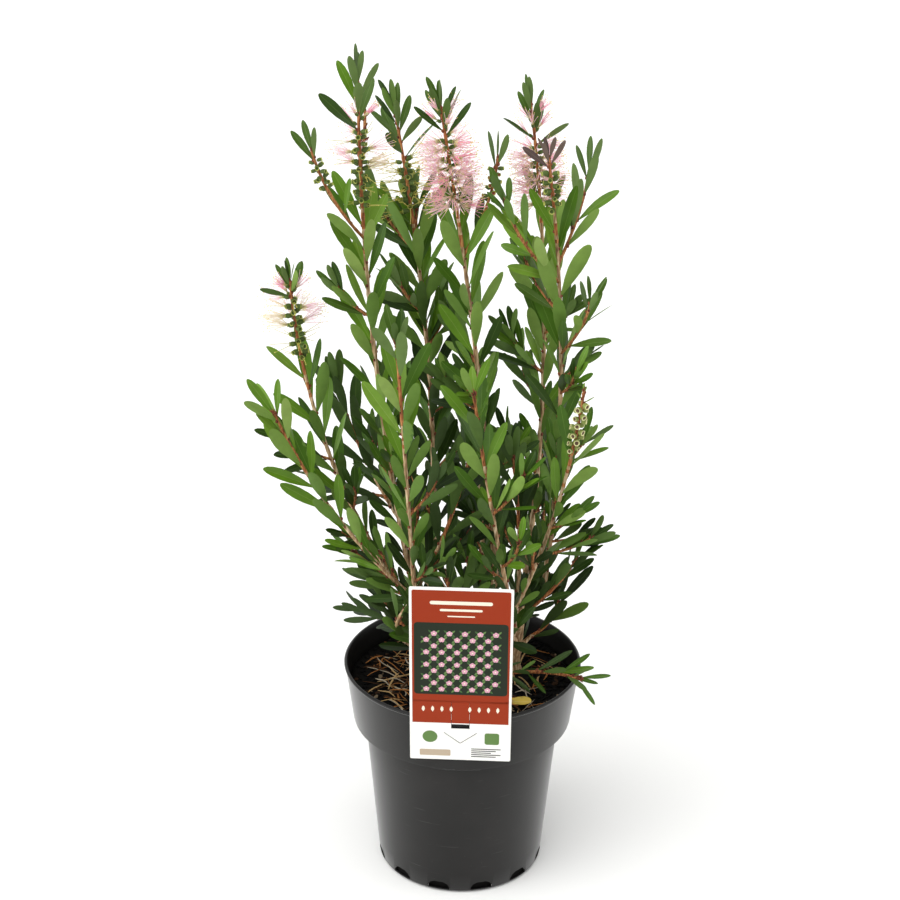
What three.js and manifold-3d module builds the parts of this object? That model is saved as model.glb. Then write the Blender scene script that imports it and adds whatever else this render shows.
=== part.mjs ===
// A bottlebrush shrub in its nursery pot, in millimetres, +Z up. The origin is the centre of the
// pot's flat underside, and the label hangs on the rim at the front, towards -Y.
//
// The shrub is built the way it grows. Three short stems rise from the potting mix. Each carries
// several boughs, and each bough ends in one leafy shoot: a tapering stem that goes on from the
// bough's tip, with side twigs, leaves and flower spikes fused to it by a seeded rule. A leaf or
// twig that would touch another shoot, the pot or the label is left out.

import * as THREE from "three";
import { mergeVertices } from "three/addons/utils/BufferGeometryUtils.js";
import Module from "manifold-3d";

const wasm = await Module();
wasm.setup();

// ---------------------------------------------------------------------------- driving dimensions

const GAP = 0.3; // between pieces that touch on the real plant

// The pot: a 200 mm nursery pot with a deep collar.
const POT_HEIGHT = 193;
const RIM_RADIUS = 101.5;
const COLLAR_FOOT_Z = 141;
const COLLAR_FOOT_RADIUS = 94.5;
const BODY_TOP_RADIUS = 84;
const BASE_RADIUS = 72;
const BASE_EDGE = 3; // bevel round the underside
const POT_WALL = 2;
const RIM_BEVEL = 0.8;
const POT_SIDES = 36;

const MIX_TOP_Z = 174; // potting mix, 19 mm below the rim

// The hang label: a plastic card that hooks over the rim with a tongue.
const LABEL_WIDTH = 83;
const LABEL_ABOVE_RIM = 133;
const LABEL_BELOW_RIM = 41;
const LABEL_THICKNESS = 0.8;
const LABEL_CORNER = 1.5;
const LABEL_SHIFT_X = -1.8;
const LABEL_YAW = THREE.MathUtils.degToRad(-2.5); // its right side is turned to the front
const TONGUE_WIDTH = 26;
const TONGUE_REACH = 5.8; // from the card's back to the tongue's inner face
const TONGUE_DROP = 15;
const TONGUE_RISE = 1.8; // top of the tongue's bend above the rim

// Wood: radii of the stems, boughs and shoots.
const STEM_FLARE_RADIUS = 8.5;
const STEM_FLARE_HEIGHT = 9;
const STEM_FOOT_RADIUS = 5.2;
const STEM_FORK_RADIUS = 4.2;
const BOUGH_SWELL = 0.9; // a bough is this much thicker at its stem than at its tip
const SHOOT_TIP_RADIUS = 0.8;
const SHOOT_RADIUS = 1.3; // a shoot's radius at its foot is this, plus a share of its length
const SHOOT_RADIUS_PER_MM = 1 / 420;
const TWIG_RADIUS = 1.1;
const THREE_SIDED = 1.3; // a three-sided stem is drawn this much wider, to hold the same wood

// Leaves.
const LEAF_LENGTH = 52;
const LEAF_WIDTH_RATIO = 0.26;
const LEAF_WIDEST = 0.6; // of its length
const LEAF_RIDGE = 0.3; // where the blade is thickest
const LEAF_THICKNESS = 1.4;
const LEAF_SPACING = 12; // along a shoot
const TWIG_LEAF_SPACING = 11;
const TUFT_SPACING = 4.5; // of the small leaves at every tip
const TUFT_LENGTH = 13;
const LEAF_CLEARANCE = 4.5; // from the limbs and leaves of other shoots
const TWIG_LEAF_SHARE = 0.82; // leaves on side twigs, against those on shoots
const FIRST_LEAF = 6; // from the foot of a shoot
const FIRST_TWIG_LEAF = 9;

// How leaves stand, in degrees.
const LEAF_TURN = 137.5; // round the limb, from one leaf to the next
const TURN_SWAY = 18;
const TIP_TILT = 20; // off the limb, at its tip
const LOW_TILT = 34; // off the limb, from LOW_TILT_REACH below the tip down
const LOW_TILT_REACH = 130;
const TILT_SWAY = [-8, 9];
const ROLL_SWAY = 72; // twist of the blade about its own midrib
const SIZE_SWAY = [0.82, 1.12];
const YOUNG_REACH = 45; // leaves nearer the tip than this are not full grown
const YOUNG_SIZE = 0.55;
const FOOT_SIZE = 0.55; // leaves at the foot of a shoot are small
const FOOT_REACH = 0.6; // and full grown from this share of it up

// The short side twigs that the seeded rule adds.
const TWIG_START = 0.16; // where on the shoot they begin, as a share of its length
const TWIG_SPAN = 0.42;
const TWIG_TILT = [34, 50]; // degrees off the shoot
const TWIG_LENGTH = [34, 58];
const TWIG_BEND = 0.14; // of how far the twig's tip stands off the shoot
const TWIG_CLEARANCE = 6;

// The bare margins round the pot's wall, above the mix and behind the label.
const WALL_MARGIN_OUTSIDE = 4;
const WALL_MARGIN_INSIDE = 8;
const MIX_MARGIN = 4;
const LABEL_MARGIN_ABOVE = 4;
const LABEL_MARGIN_BEHIND = 5;

// Flower spikes: rings of stamens, or of green seed cups.
const STAMEN_SPACING = 9;
const CUP_SPACING = 7;
const STAMEN_REACH = 23;
const STAMEN_WAIST = 5;
const STAMEN_CORNERS = 6;
const CUP_REACH = 7;
const CUP_WAIST = 1;
const CUP_CORNERS = 4;
const SHORTEST_RING = 0.74; // of a ring's reach

// Three stems from one root. foot and fork are the ends of each stem's axis.
const STEMS = {
  left: { foot: [-14, 2], fork: [-30, -4, 222] },
  middle: { foot: [14, -4], fork: [17, 4, 228] },
  right: { foot: [44, 18], fork: [49, 13, 224] },
};

// One row for each leafy shoot.
//   stem, rise  the stem that carries its bough, and how far up that stem the bough leaves
//   knee, tip   where the bough ends and the shoot begins, and the shoot's own end
//   bow         how far the shoot's middle stands off the straight line between them
//   bloom       a flower spike: its start and end, measured down from the tip, and what it bears
//   twigs       side twigs: how far along the shoot each leaves, and where it ends
//   extra       how many short side twigs the seeded rule adds
const SHOOTS = {
  left_flower: {
    stem: "left", rise: 0.75, knee: [-49, 12, 245], tip: [-142, 1, 535], bow: [-18, 0, -6],
    bloom: { from: 14, to: 68, kind: "fading" },
    extra: 2,
  },
  left_low: {
    stem: "left", rise: 0.62, knee: [-33, -23, 255], tip: [-152, -60, 447], bow: [-10, 0, -6],
    extra: 0,
  },
  left_inner: {
    stem: "left", rise: 0.5, knee: [-46, 37, 292], tip: [-109, 70, 416], bow: [-5, 0, -3],
    extra: 1,
  },
  left_skirt: {
    stem: "left", rise: 0.3, knee: [-38, 9, 208], tip: [-74, 22, 256], bow: [-4, 0, -4],
    extra: 1,
  },
  tall_left: {
    stem: "left", rise: 1, knee: [-40, -6, 250], tip: [-86, -10, 698], bow: [-11, 0, -1],
    bloom: { from: 37, to: 98, kind: "fading" },
    twigs: [
      { at: 0.72, tip: [-120, -40, 654] },
      { at: 0.84, tip: [-82, 22, 669] },
    ],
    extra: 2,
  },
  front_left: {
    stem: "left", rise: 0.47, knee: [-39, -45, 255], tip: [-55, -75, 514], bow: [0, 1, 0],
    extra: 2,
  },
  crossing: {
    stem: "left", rise: 0.2, knee: [-52, -37, 255], tip: [3, -20, 392], bow: [6, 0, -2],
    extra: 1,
  },
  tall_back: {
    stem: "middle", rise: 0.72, knee: [-26, 39, 265], tip: [-60, 55, 662], bow: [10, 0, 1],
    bloom: { from: 42, to: 84, kind: "cups" },
    extra: 3,
  },
  tall_middle: {
    stem: "middle", rise: 1, knee: [27, 12, 270], tip: [-23, 0, 679], bow: [5, 0, 1],
    bloom: { from: 25, to: 83, kind: "full" },
    twigs: [{ at: 0.7, tip: [22, 10, 636] }],
    extra: 3,
  },
  front_middle: {
    stem: "middle", rise: 0.4, knee: [42, -48, 255], tip: [5, -80, 474], bow: [-2, 0, 0],
    extra: 2,
  },
  thin_middle: {
    stem: "middle", rise: 0.8, knee: [46, -10, 258], tip: [38, -31, 398], bow: [3, 0, 0],
    extra: 0,
  },
  back_left: {
    stem: "middle", rise: 0.36, knee: [-22, 66, 255], tip: [-60, 118, 394], bow: [-4, 4, -3],
    extra: 2,
  },
  back_middle: {
    stem: "middle", rise: 0.6, knee: [18, 62, 250], tip: [8, 125, 400], bow: [0, 6, -4],
    extra: 2,
  },
  low_front: {
    stem: "middle", rise: 0.5, knee: [2, -32, 226], tip: [-14, -58, 300], bow: [-2, -4, -3],
    extra: 1,
  },
  low_back: {
    stem: "middle", rise: 0.25, knee: [22, 46, 214], tip: [30, 88, 292], bow: [2, 6, -4],
    extra: 1,
  },
  rim_right: {
    stem: "middle", rise: 0.2, knee: [44, -17, 189], tip: [99, -50, 203], bow: [0, 0, 3],
    extra: 0,
  },
  right_back: {
    stem: "right", rise: 0.62, knee: [54, 34, 262], tip: [49, 69, 665], bow: [13, -1, 1],
    bloom: { from: 36, to: 84, kind: "full" },
    twigs: [{ at: 0.44, tip: [36, 40, 479] }],
    extra: 3,
  },
  right_tall: {
    stem: "right", rise: 1, knee: [68, -1, 262], tip: [60, -29, 648], bow: [12, 1, 0],
    bloom: { from: 10, to: 43, kind: "cups" },
    twigs: [
      { at: 0.12, tip: [94, -12, 318] },
      { at: 0.57, tip: [96, -42, 537] },
      { at: 0.66, tip: [45, -10, 559] },
      { at: 0.73, tip: [26, -50, 620] },
      { at: 0.77, tip: [94, 10, 628] },
    ],
    extra: 2,
  },
  right_front: {
    stem: "right", rise: 0.42, knee: [40, -22, 245], tip: [92, -60, 469], bow: [8, 0, -2],
    bloom: { from: 13, to: 58, kind: "cups" },
    extra: 2,
  },
  right_low: {
    stem: "right", rise: 0.66, knee: [56, -12, 248], tip: [94, -22, 302], bow: [2, 0, -2],
    extra: 0,
  },
  right_skirt: {
    stem: "right", rise: 0.24, knee: [62, 22, 205], tip: [82, 24, 236], bow: [3, 0, -3],
    extra: 0,
  },
  back_right: {
    stem: "right", rise: 0.36, knee: [62, 60, 250], tip: [80, 112, 374], bow: [3, 4, -3],
    extra: 2,
  },
};

// ------------------------------------------------------------------------------- solids and nodes

const group = new THREE.Group();

// A closed geometry as a solid that can be joined and cut.
function solidOf(geometry) {
  const bare = geometry.clone();
  bare.deleteAttribute("normal");
  bare.deleteAttribute("uv");
  const merged = mergeVertices(bare, 1e-4);
  return new wasm.Manifold(
    new wasm.Mesh({
      numProp: 3,
      vertProperties: merged.attributes.position.array,
      triVerts: new Uint32Array(merged.index.array),
    }),
  );
}

// The largest body of a joined solid: hollows that joining has sealed are filled by this.
function wholeOf(solid) {
  return solid.decompose().reduce((best, body) => (body.volume() > best.volume() ? body : best));
}

function geometryOf(solid) {
  const mesh = solid.getMesh();
  const geometry = new THREE.BufferGeometry();
  geometry.setAttribute("position", new THREE.BufferAttribute(mesh.vertProperties, 3));
  geometry.setIndex(new THREE.BufferAttribute(mesh.triVerts, 1));
  geometry.computeVertexNormals();
  return geometry;
}

function facets(points, faces) {
  const geometry = new THREE.BufferGeometry();
  geometry.setFromPoints(points);
  geometry.setIndex(faces.flat());
  return geometry;
}

function addNode(name, geometry, material) {
  const mesh = new THREE.Mesh(geometry, material);
  mesh.name = name;
  group.add(mesh);
  return mesh;
}

const surface = (color, roughness) =>
  new THREE.MeshStandardMaterial({ color, roughness, metalness: 0 });
const POT_PLASTIC = surface(0x2e2f31, 0.55);
const MIX = surface(0x2b211a, 0.95);
const CARD = surface(0xc0481d, 0.4);
const OLD_BARK = surface(0x8a7260, 0.85);
const LEAF_GREEN = surface(0x4f7a38, 0.5);

const vec = ([x, y, z]) => new THREE.Vector3(x, y, z);
const radians = THREE.MathUtils.degToRad;
const lerp = THREE.MathUtils.lerp;

// The same numbers on every run: each shoot has its own seed.
function seeded(seed) {
  let state = Math.imul(seed + 1, 2654435761) >>> 0;
  return () => {
    state = (Math.imul(state, 1664525) + 1013904223) >>> 0;
    return state / 4294967296;
  };
}

// ------------------------------------------------------------------------------------------- limbs

const LIMB_STEPS = 32;

// A limb is a tapering axis. at() gives the place and the three directions at a distance along it.
class Limb {
  constructor(curve, footRadius, tipRadius) {
    this.points = [];
    this.lengths = [0];
    for (let i = 0; i <= LIMB_STEPS; i++) {
      this.points.push(curve.getPoint(i / LIMB_STEPS));
      if (i) this.lengths.push(this.lengths[i - 1] + this.points[i].distanceTo(this.points[i - 1]));
    }
    this.length = this.lengths[LIMB_STEPS];
    this.footRadius = footRadius;
    this.tipRadius = tipRadius;
  }

  radius(distance) {
    return lerp(this.footRadius, this.tipRadius, distance / this.length);
  }

  at(distance) {
    let i = 1;
    while (i < LIMB_STEPS && this.lengths[i] < distance) i++;
    const [from, to] = [this.points[i - 1], this.points[i]];
    const share = (distance - this.lengths[i - 1]) / (this.lengths[i] - this.lengths[i - 1]);
    const point = from.clone().lerp(to, share);
    const along = to.clone().sub(from).normalize();
    const side = new THREE.Vector3().crossVectors(along, new THREE.Vector3(0, 1, 0)).normalize();
    const front = new THREE.Vector3().crossVectors(along, side);
    return { point, along, side, front };
  }

  // A ring of corners round the axis, at a distance along it.
  ring(distance, sides, wider = 0) {
    const { point, side, front } = this.at(distance);
    const radius = this.radius(distance) * (sides === 3 ? THREE_SIDED : 1) + wider;
    return Array.from({ length: sides }, (_, k) => {
      const turn = (2 * Math.PI * k) / sides;
      return point
        .clone()
        .addScaledVector(side, radius * Math.cos(turn))
        .addScaledVector(front, radius * Math.sin(turn));
    });
  }

  // The closed solid from one distance to another, in equal steps.
  solid(sides, steps, { from = 0, to = this.length, wider = 0 } = {}) {
    const rings = Array.from({ length: steps + 1 }, (_, i) =>
      this.ring(lerp(from, to, i / steps), sides, wider),
    );
    return solidOf(loft(rings));
  }
}

// Skins rings of equal corners, and closes both ends with flat fans.
function loft(rings) {
  const sides = rings[0].length;
  const faces = [];
  for (let i = 1; i < rings.length; i++) {
    for (let k = 0; k < sides; k++) {
      const [a, b] = [(i - 1) * sides + k, (i - 1) * sides + ((k + 1) % sides)];
      faces.push([a, b, b + sides], [a, b + sides, a + sides]);
    }
  }
  const top = (rings.length - 1) * sides;
  for (let k = 2; k < sides; k++) {
    faces.push([0, k, k - 1], [top, top + k - 1, top + k]);
  }
  return facets(rings.flat(), faces);
}

// A curve from start to end whose middle stands off the straight line by bow.
function bowed(start, end, bow) {
  const middle = start.clone().lerp(end, 0.5).addScaledVector(bow, 2);
  return new THREE.QuadraticBezierCurve3(start, middle, end);
}

// ------------------------------------------------------------------------------------ taken places

// Balls that stand for what is already in the crown. Each has an owner: a shoot may be close to its
// own wood and leaves near a leaf's root, and to nothing else.
const taken = [];

function take(point, radius, owner) {
  taken.push({ x: point.x, y: point.y, z: point.z, radius, owner });
}

const LIMB_STEP = 4; // from one ball to the next along a limb

function takeLimb(limb, owner) {
  for (let s = 0; s <= limb.length; s += LIMB_STEP) take(limb.at(s).point, limb.radius(s), owner);
}

function isTaken(point, owner, clearance, nearRoot) {
  return taken.some((ball) => {
    if (nearRoot && ball.owner === owner) return false;
    const reach = ball.radius + clearance;
    const [dx, dy, dz] = [point.x - ball.x, point.y - ball.y, point.z - ball.z];
    return dx * dx + dy * dy + dz * dz < reach * reach;
  });
}

const collarSlope = (RIM_RADIUS - COLLAR_FOOT_RADIUS) / (POT_HEIGHT - COLLAR_FOOT_Z);
const labelLean = Math.atan(collarSlope);

// True where a leaf may be: above the mix, clear of the pot's wall and behind the label.
function isOpen(point) {
  if (point.z < MIX_TOP_Z + MIX_MARGIN) return false;
  const past = Math.hypot(point.x, point.y) - RIM_RADIUS;
  const atWall = past > -WALL_MARGIN_INSIDE && past < WALL_MARGIN_OUTSIDE;
  if (atWall && point.z < POT_HEIGHT + WALL_MARGIN_OUTSIDE) return false;
  const labelTop = POT_HEIGHT + LABEL_ABOVE_RIM + LABEL_MARGIN_ABOVE;
  const labelY = -RIM_RADIUS - (point.z - POT_HEIGHT) * collarSlope;
  return point.z > labelTop || point.y > labelY + LABEL_MARGIN_BEHIND;
}

// ----------------------------------------------------------------------------- leaves and blossom

// A leaf's blade: a thin kite with a low ridge on both faces. Its root is a point on the limb's axis.
function leafSolid({ root, direction, across, length, width }) {
  const normal = new THREE.Vector3().crossVectors(direction, across);
  const at = (share, sideways, up) =>
    root
      .clone()
      .addScaledVector(direction, share * length)
      .addScaledVector(across, sideways)
      .addScaledVector(normal, up);
  const half = width / 2;
  const corners = [
    root,
    at(LEAF_WIDEST, half, 0),
    at(1, 0, 0),
    at(LEAF_WIDEST, -half, 0),
    at(LEAF_RIDGE, 0, LEAF_THICKNESS / 2),
    at(LEAF_RIDGE, 0, -LEAF_THICKNESS / 2),
  ];
  const faces = [0, 1, 2, 3].flatMap((k) => {
    const next = (k + 1) % 4;
    return [
      [next, k, 4],
      [k, next, 5],
    ];
  });
  return solidOf(facets(corners, faces));
}

const LEAF_STATIONS = [0.12, 0.25, 0.38, 0.5, 0.62, 0.74, 0.87, 1];
const NEAR_ROOT = 0.4; // of the leaf's length

// The midrib and both edges of a leaf, at a share of its length.
function leafPoints(leaf, share) {
  const half = (leaf.width / 2) * Math.min(share / LEAF_WIDEST, (1 - share) / (1 - LEAF_WIDEST));
  return [-half, 0, half].map((sideways) =>
    leaf.root
      .clone()
      .addScaledVector(leaf.direction, share * leaf.length)
      .addScaledVector(leaf.across, sideways),
  );
}

function leafIsClear(leaf, owner) {
  return LEAF_STATIONS.every((share) =>
    leafPoints(leaf, share).every(
      (point) => isOpen(point) && !isTaken(point, owner, LEAF_CLEARANCE, share < NEAR_ROOT),
    ),
  );
}

function takeLeaf(leaf, owner) {
  for (const share of LEAF_STATIONS) {
    for (const point of leafPoints(leaf, share)) take(point, 0, owner);
  }
}

// A leaf on a limb: turn is its bearing round the limb, tilt its angle from the limb, and roll how
// far the blade is twisted about its own midrib.
function leafOn(limb, distance, turn, tilt, roll, length) {
  const { point, along, side, front } = limb.at(distance);
  const outward = side
    .clone()
    .multiplyScalar(Math.cos(turn))
    .addScaledVector(front, Math.sin(turn));
  const direction = along
    .clone()
    .multiplyScalar(Math.cos(tilt))
    .addScaledVector(outward, Math.sin(tilt));
  const level = new THREE.Vector3().crossVectors(along, outward);
  const upright = new THREE.Vector3().crossVectors(direction, level);
  const across = level.multiplyScalar(Math.cos(roll)).addScaledVector(upright, Math.sin(roll));
  return { root: point, direction, across, length, width: length * LEAF_WIDTH_RATIO };
}

// Turns that a leaf tries, in degrees from its own, before it is left out.
const SECOND_TRIES = [0, 35, -35, 70, -70];

// The leaves of a limb from one distance to its tip, by the seeded rule.
function leavesAlong(limb, { from, spacing, size, footSize = 1, random, owner, blossom }) {
  const leaves = [];
  let distance = from;
  for (let i = 0; distance < limb.length; i++) {
    const place = distance;
    const toTip = limb.length - place;
    distance += toTip < TUFT_LENGTH ? TUFT_SPACING : spacing;
    const turn = i * LEAF_TURN + lerp(-TURN_SWAY, TURN_SWAY, random());
    const lean = lerp(TIP_TILT, LOW_TILT, Math.min(1, toTip / LOW_TILT_REACH));
    const tilt = radians(lean + lerp(...TILT_SWAY, random()));
    const roll = radians(lerp(-ROLL_SWAY, ROLL_SWAY, random()));
    const young = lerp(YOUNG_SIZE, 1, Math.min(1, toTip / YOUNG_REACH));
    const low = lerp(footSize, 1, Math.min(1, place / (limb.length * FOOT_REACH)));
    const length = size * young * low * lerp(...SIZE_SWAY, random());
    if (blossom && toTip > blossom.from && toTip < blossom.to) continue;
    for (const change of SECOND_TRIES) {
      const leaf = leafOn(limb, place, radians(turn + change), tilt, roll, length);
      if (!leafIsClear(leaf, owner)) continue;
      leaves.push(leaf);
      takeLeaf(leaf, owner);
      break;
    }
  }
  return leaves;
}

// A stack of ragged rings round the limb: each widens from a waist to its corners and back.
function ringStack(limb, { from, to, rings, corners, reach, waist }, random) {
  const spacing = (to - from) / rings;
  const layers = [];
  for (let i = 0; i < rings; i++) {
    const distance = from + i * spacing;
    const widest = distance + spacing * 0.6;
    const { point } = limb.at(widest);
    const ragged = limb.ring(widest, corners, 1).map((corner) => {
      const outward = corner.sub(point).normalize();
      return point.clone().addScaledVector(outward, reach * lerp(SHORTEST_RING, 1, random()));
    });
    layers.push(limb.ring(distance, corners, waist), ragged);
  }
  layers.push(limb.ring(to, corners, waist));
  return solidOf(loft(layers));
}

// What each kind of spike bears: stamens on its upper share, seed cups below them.
const STAMEN_SHARE = { full: 1, fading: 0.45, cups: 0 };
const SPIKE_STEP = 6; // from one ball to the next along a spike

function spikeSolids(limb, { from, to, kind }, random) {
  const [low, high] = [limb.length - to, limb.length - from];
  const change = lerp(high, low, STAMEN_SHARE[kind]);
  const solids = [];
  if (change > low) {
    const cups = {
      from: low,
      to: change,
      rings: Math.round((change - low) / CUP_SPACING),
      corners: CUP_CORNERS,
      reach: CUP_REACH,
      waist: CUP_WAIST,
    };
    solids.push(ringStack(limb, cups, random));
  }
  if (change < high) {
    const stamens = {
      from: change - 1,
      to: high,
      rings: Math.round((high - change) / STAMEN_SPACING),
      corners: STAMEN_CORNERS,
      reach: STAMEN_REACH,
      waist: STAMEN_WAIST,
    };
    solids.push(ringStack(limb, stamens, random));
  }
  return solids;
}

// The ends of the longest stamens may be among leaves.
function takeSpike(limb, { from, to, kind }, owner) {
  const radius = kind === "cups" ? CUP_REACH : STAMEN_REACH - 3;
  for (let s = from; s <= to; s += SPIKE_STEP) take(limb.at(limb.length - s).point, radius, owner);
}

// ------------------------------------------------------------------------------------- the shrub

const stems = Object.fromEntries(
  Object.entries(STEMS).map(([name, { foot, fork }]) => {
    const start = vec([...foot, MIX_TOP_Z + GAP]);
    const end = vec(fork);
    const bow = new THREE.Vector3(foot[0] - fork[0], foot[1] - fork[1], 0).multiplyScalar(-0.1);
    return [name, new Limb(bowed(start, end, bow), STEM_FOOT_RADIUS, STEM_FORK_RADIUS)];
  }),
);

const STEM_SIDES = 8;

// A stem flares at its foot, where it is cut flat and level on the mix.
function buildStem(name) {
  const stem = stems[name];
  const flare = [STEM_FLARE_RADIUS, STEM_FOOT_RADIUS + 0.6, STEM_FOOT_RADIUS];
  const rings = flare.map((radius, i) => {
    const distance = (STEM_FLARE_HEIGHT * i) / 2;
    return stem.ring(distance, STEM_SIDES, radius - stem.radius(distance));
  });
  for (const corner of rings[0]) corner.z = MIX_TOP_Z + GAP;
  for (const share of [0.5, 0.75, 1]) rings.push(stem.ring(share * stem.length, STEM_SIDES));
  addNode(`stem_${name}`, loft(rings), OLD_BARK);
}

function shootFootRadius(row) {
  return SHOOT_RADIUS + vec(row.knee).distanceTo(vec(row.tip)) * SHOOT_RADIUS_PER_MM;
}

// A bough leaves its stem outwards and turns into the line of its shoot.
function boughLimb(row) {
  const stem = stems[row.stem];
  const start = stem.at(row.rise * stem.length);
  const shoot = bowed(vec(row.knee), vec(row.tip), vec(row.bow));
  const knee = vec(row.knee);
  const reach = start.point.distanceTo(knee) / 3;
  const outward = knee.clone().sub(start.point).normalize().addScaledVector(start.along, 0.5);
  const leave = start.point.clone().addScaledVector(outward.normalize(), reach);
  const arrive = knee.clone().addScaledVector(shoot.getTangent(0), -reach);
  const curve = new THREE.CubicBezierCurve3(start.point, leave, arrive, knee);
  const tipRadius = shootFootRadius(row);
  return new Limb(curve, tipRadius + BOUGH_SWELL, tipRadius);
}

const BOUGH_SIDES = 5;
const BOUGH_STEPS = 5;

function buildBough(name, row, limb) {
  const stem = stems[row.stem];
  const round = stem.solid(STEM_SIDES, 3, { to: stem.length + GAP, wider: GAP });
  const bough = limb.solid(BOUGH_SIDES, BOUGH_STEPS, { to: limb.length - GAP / 2 }).subtract(round);
  addNode(`bough_${name}`, geometryOf(wholeOf(bough)), OLD_BARK);
}

// A side twig leaves its shoot outwards and bends up towards its own tip.
function twigLimb(shoot, distance, tip) {
  const { point, along } = shoot.at(distance);
  const reach = tip.clone().sub(point);
  const outward = reach.clone().addScaledVector(along, -reach.dot(along));
  const curve = bowed(point, tip, outward.multiplyScalar(TWIG_BEND));
  return new Limb(curve, TWIG_RADIUS, SHOOT_TIP_RADIUS);
}

function extraTwigs(shoot, count, random) {
  return Array.from({ length: count }, (_, i) => {
    const distance = shoot.length * (TWIG_START + (TWIG_SPAN * (i + random())) / count);
    const turn = random() * 2 * Math.PI;
    const tilt = radians(lerp(...TWIG_TILT, random()));
    const length = lerp(...TWIG_LENGTH, random());
    const { point, along, side, front } = shoot.at(distance);
    const tip = point
      .clone()
      .addScaledVector(along, length * Math.cos(tilt))
      .addScaledVector(side, length * Math.sin(tilt) * Math.cos(turn))
      .addScaledVector(front, length * Math.sin(tilt) * Math.sin(turn));
    return twigLimb(shoot, distance, tip);
  });
}

// True for a twig that is clear of all but its own shoot, near which its lower part may be.
function twigIsClear(twig, owner) {
  for (let s = twig.length * 0.1; s <= twig.length; s += LIMB_STEP) {
    const { point } = twig.at(s);
    const low = s < twig.length * 0.6;
    if (!isOpen(point) || isTaken(point, owner, TWIG_CLEARANCE, low)) return false;
  }
  return true;
}

// The wood of the whole shrub is settled first, then the flower spikes, and the leaves fill in.
const plants = Object.entries(SHOOTS).map(([name, row], index) => {
  const bough = boughLimb(row);
  const start = vec(row.knee).addScaledVector(bough.at(bough.length).along, GAP / 2);
  const shoot = new Limb(
    bowed(start, vec(row.tip), vec(row.bow)),
    shootFootRadius(row),
    SHOOT_TIP_RADIUS,
  );
  return { name, row, bough, shoot, random: seeded(index) };
});

for (const name of Object.keys(STEMS)) takeLimb(stems[name], `stem_${name}`);
for (const { name, bough, shoot } of plants) {
  takeLimb(bough, name);
  takeLimb(shoot, name);
}
for (const { name, row, shoot } of plants) if (row.bloom) takeSpike(shoot, row.bloom, name);

for (const plant of plants) {
  const { name, row, shoot, random } = plant;
  const named = (row.twigs ?? []).map((twig) =>
    twigLimb(shoot, twig.at * shoot.length, vec(twig.tip)),
  );
  const extra = extraTwigs(shoot, row.extra, random).filter((twig) => twigIsClear(twig, name));
  plant.twigs = [...named, ...extra];
  for (const twig of plant.twigs) takeLimb(twig, name);
}

for (const plant of plants) {
  const { name, row, shoot, twigs, random } = plant;
  const common = { random, owner: name };
  plant.leaves = leavesAlong(shoot, {
    ...common,
    from: FIRST_LEAF,
    spacing: LEAF_SPACING,
    size: LEAF_LENGTH,
    footSize: FOOT_SIZE,
    blossom: row.bloom,
  });
  for (const twig of twigs) {
    plant.leaves.push(
      ...leavesAlong(twig, {
        ...common,
        from: FIRST_TWIG_LEAF,
        spacing: TWIG_LEAF_SPACING,
        size: LEAF_LENGTH * TWIG_LEAF_SHARE,
      }),
    );
  }
}

function buildShoot({ name, row, shoot, twigs, leaves, random }) {
  const steps = Math.max(3, Math.round(shoot.length / 60));
  let mass = shoot.solid(3, steps);
  for (const twig of twigs) mass = mass.add(twig.solid(3, 2));
  for (const leaf of leaves) mass = mass.add(leafSolid(leaf));
  const spike = row.bloom ? spikeSolids(shoot, row.bloom, random) : [];
  for (const solid of spike) mass = mass.add(solid);
  addNode(`shoot_${name}`, geometryOf(wholeOf(mass)), LEAF_GREEN);
}

// -------------------------------------------------------------------------- pot, mix and label

// Turns a half profile of [radius, height] pairs round the Z axis.
function turned(profile) {
  const points = profile.map(([radius, z]) => new THREE.Vector2(radius, z));
  return new THREE.LatheGeometry(points, POT_SIDES).rotateX(Math.PI / 2);
}

const innerRim = RIM_RADIUS - POT_WALL;
const shoulderZ = COLLAR_FOOT_Z - 3; // the body bends out here to meet the collar

function buildPot() {
  addNode(
    "pot",
    turned([
      [0, 0],
      [BASE_RADIUS - BASE_EDGE, 0],
      [BASE_RADIUS, BASE_EDGE],
      [BODY_TOP_RADIUS, shoulderZ - 2],
      [COLLAR_FOOT_RADIUS - 1.5, COLLAR_FOOT_Z - 2],
      [COLLAR_FOOT_RADIUS, COLLAR_FOOT_Z],
      [RIM_RADIUS, POT_HEIGHT - RIM_BEVEL],
      [RIM_RADIUS - RIM_BEVEL, POT_HEIGHT],
      [innerRim, POT_HEIGHT],
      [COLLAR_FOOT_RADIUS - POT_WALL, COLLAR_FOOT_Z + POT_WALL],
      [BODY_TOP_RADIUS - POT_WALL, shoulderZ],
      [BASE_RADIUS - POT_WALL, POT_WALL],
      [0, POT_WALL],
    ]),
    POT_PLASTIC,
  );
}

function buildMix() {
  const wallAtTop = innerRim - (POT_HEIGHT - MIX_TOP_Z) * collarSlope;
  const inset = 2 * GAP;
  addNode(
    "potting_mix",
    turned([
      [0, POT_WALL + GAP],
      [BASE_RADIUS - POT_WALL - inset, POT_WALL + GAP],
      [BODY_TOP_RADIUS - POT_WALL - inset, shoulderZ],
      [COLLAR_FOOT_RADIUS - POT_WALL - inset, COLLAR_FOOT_Z + POT_WALL],
      [wallAtTop - inset, MIX_TOP_Z],
      [0, MIX_TOP_Z],
    ]),
    MIX,
  );
}

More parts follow.
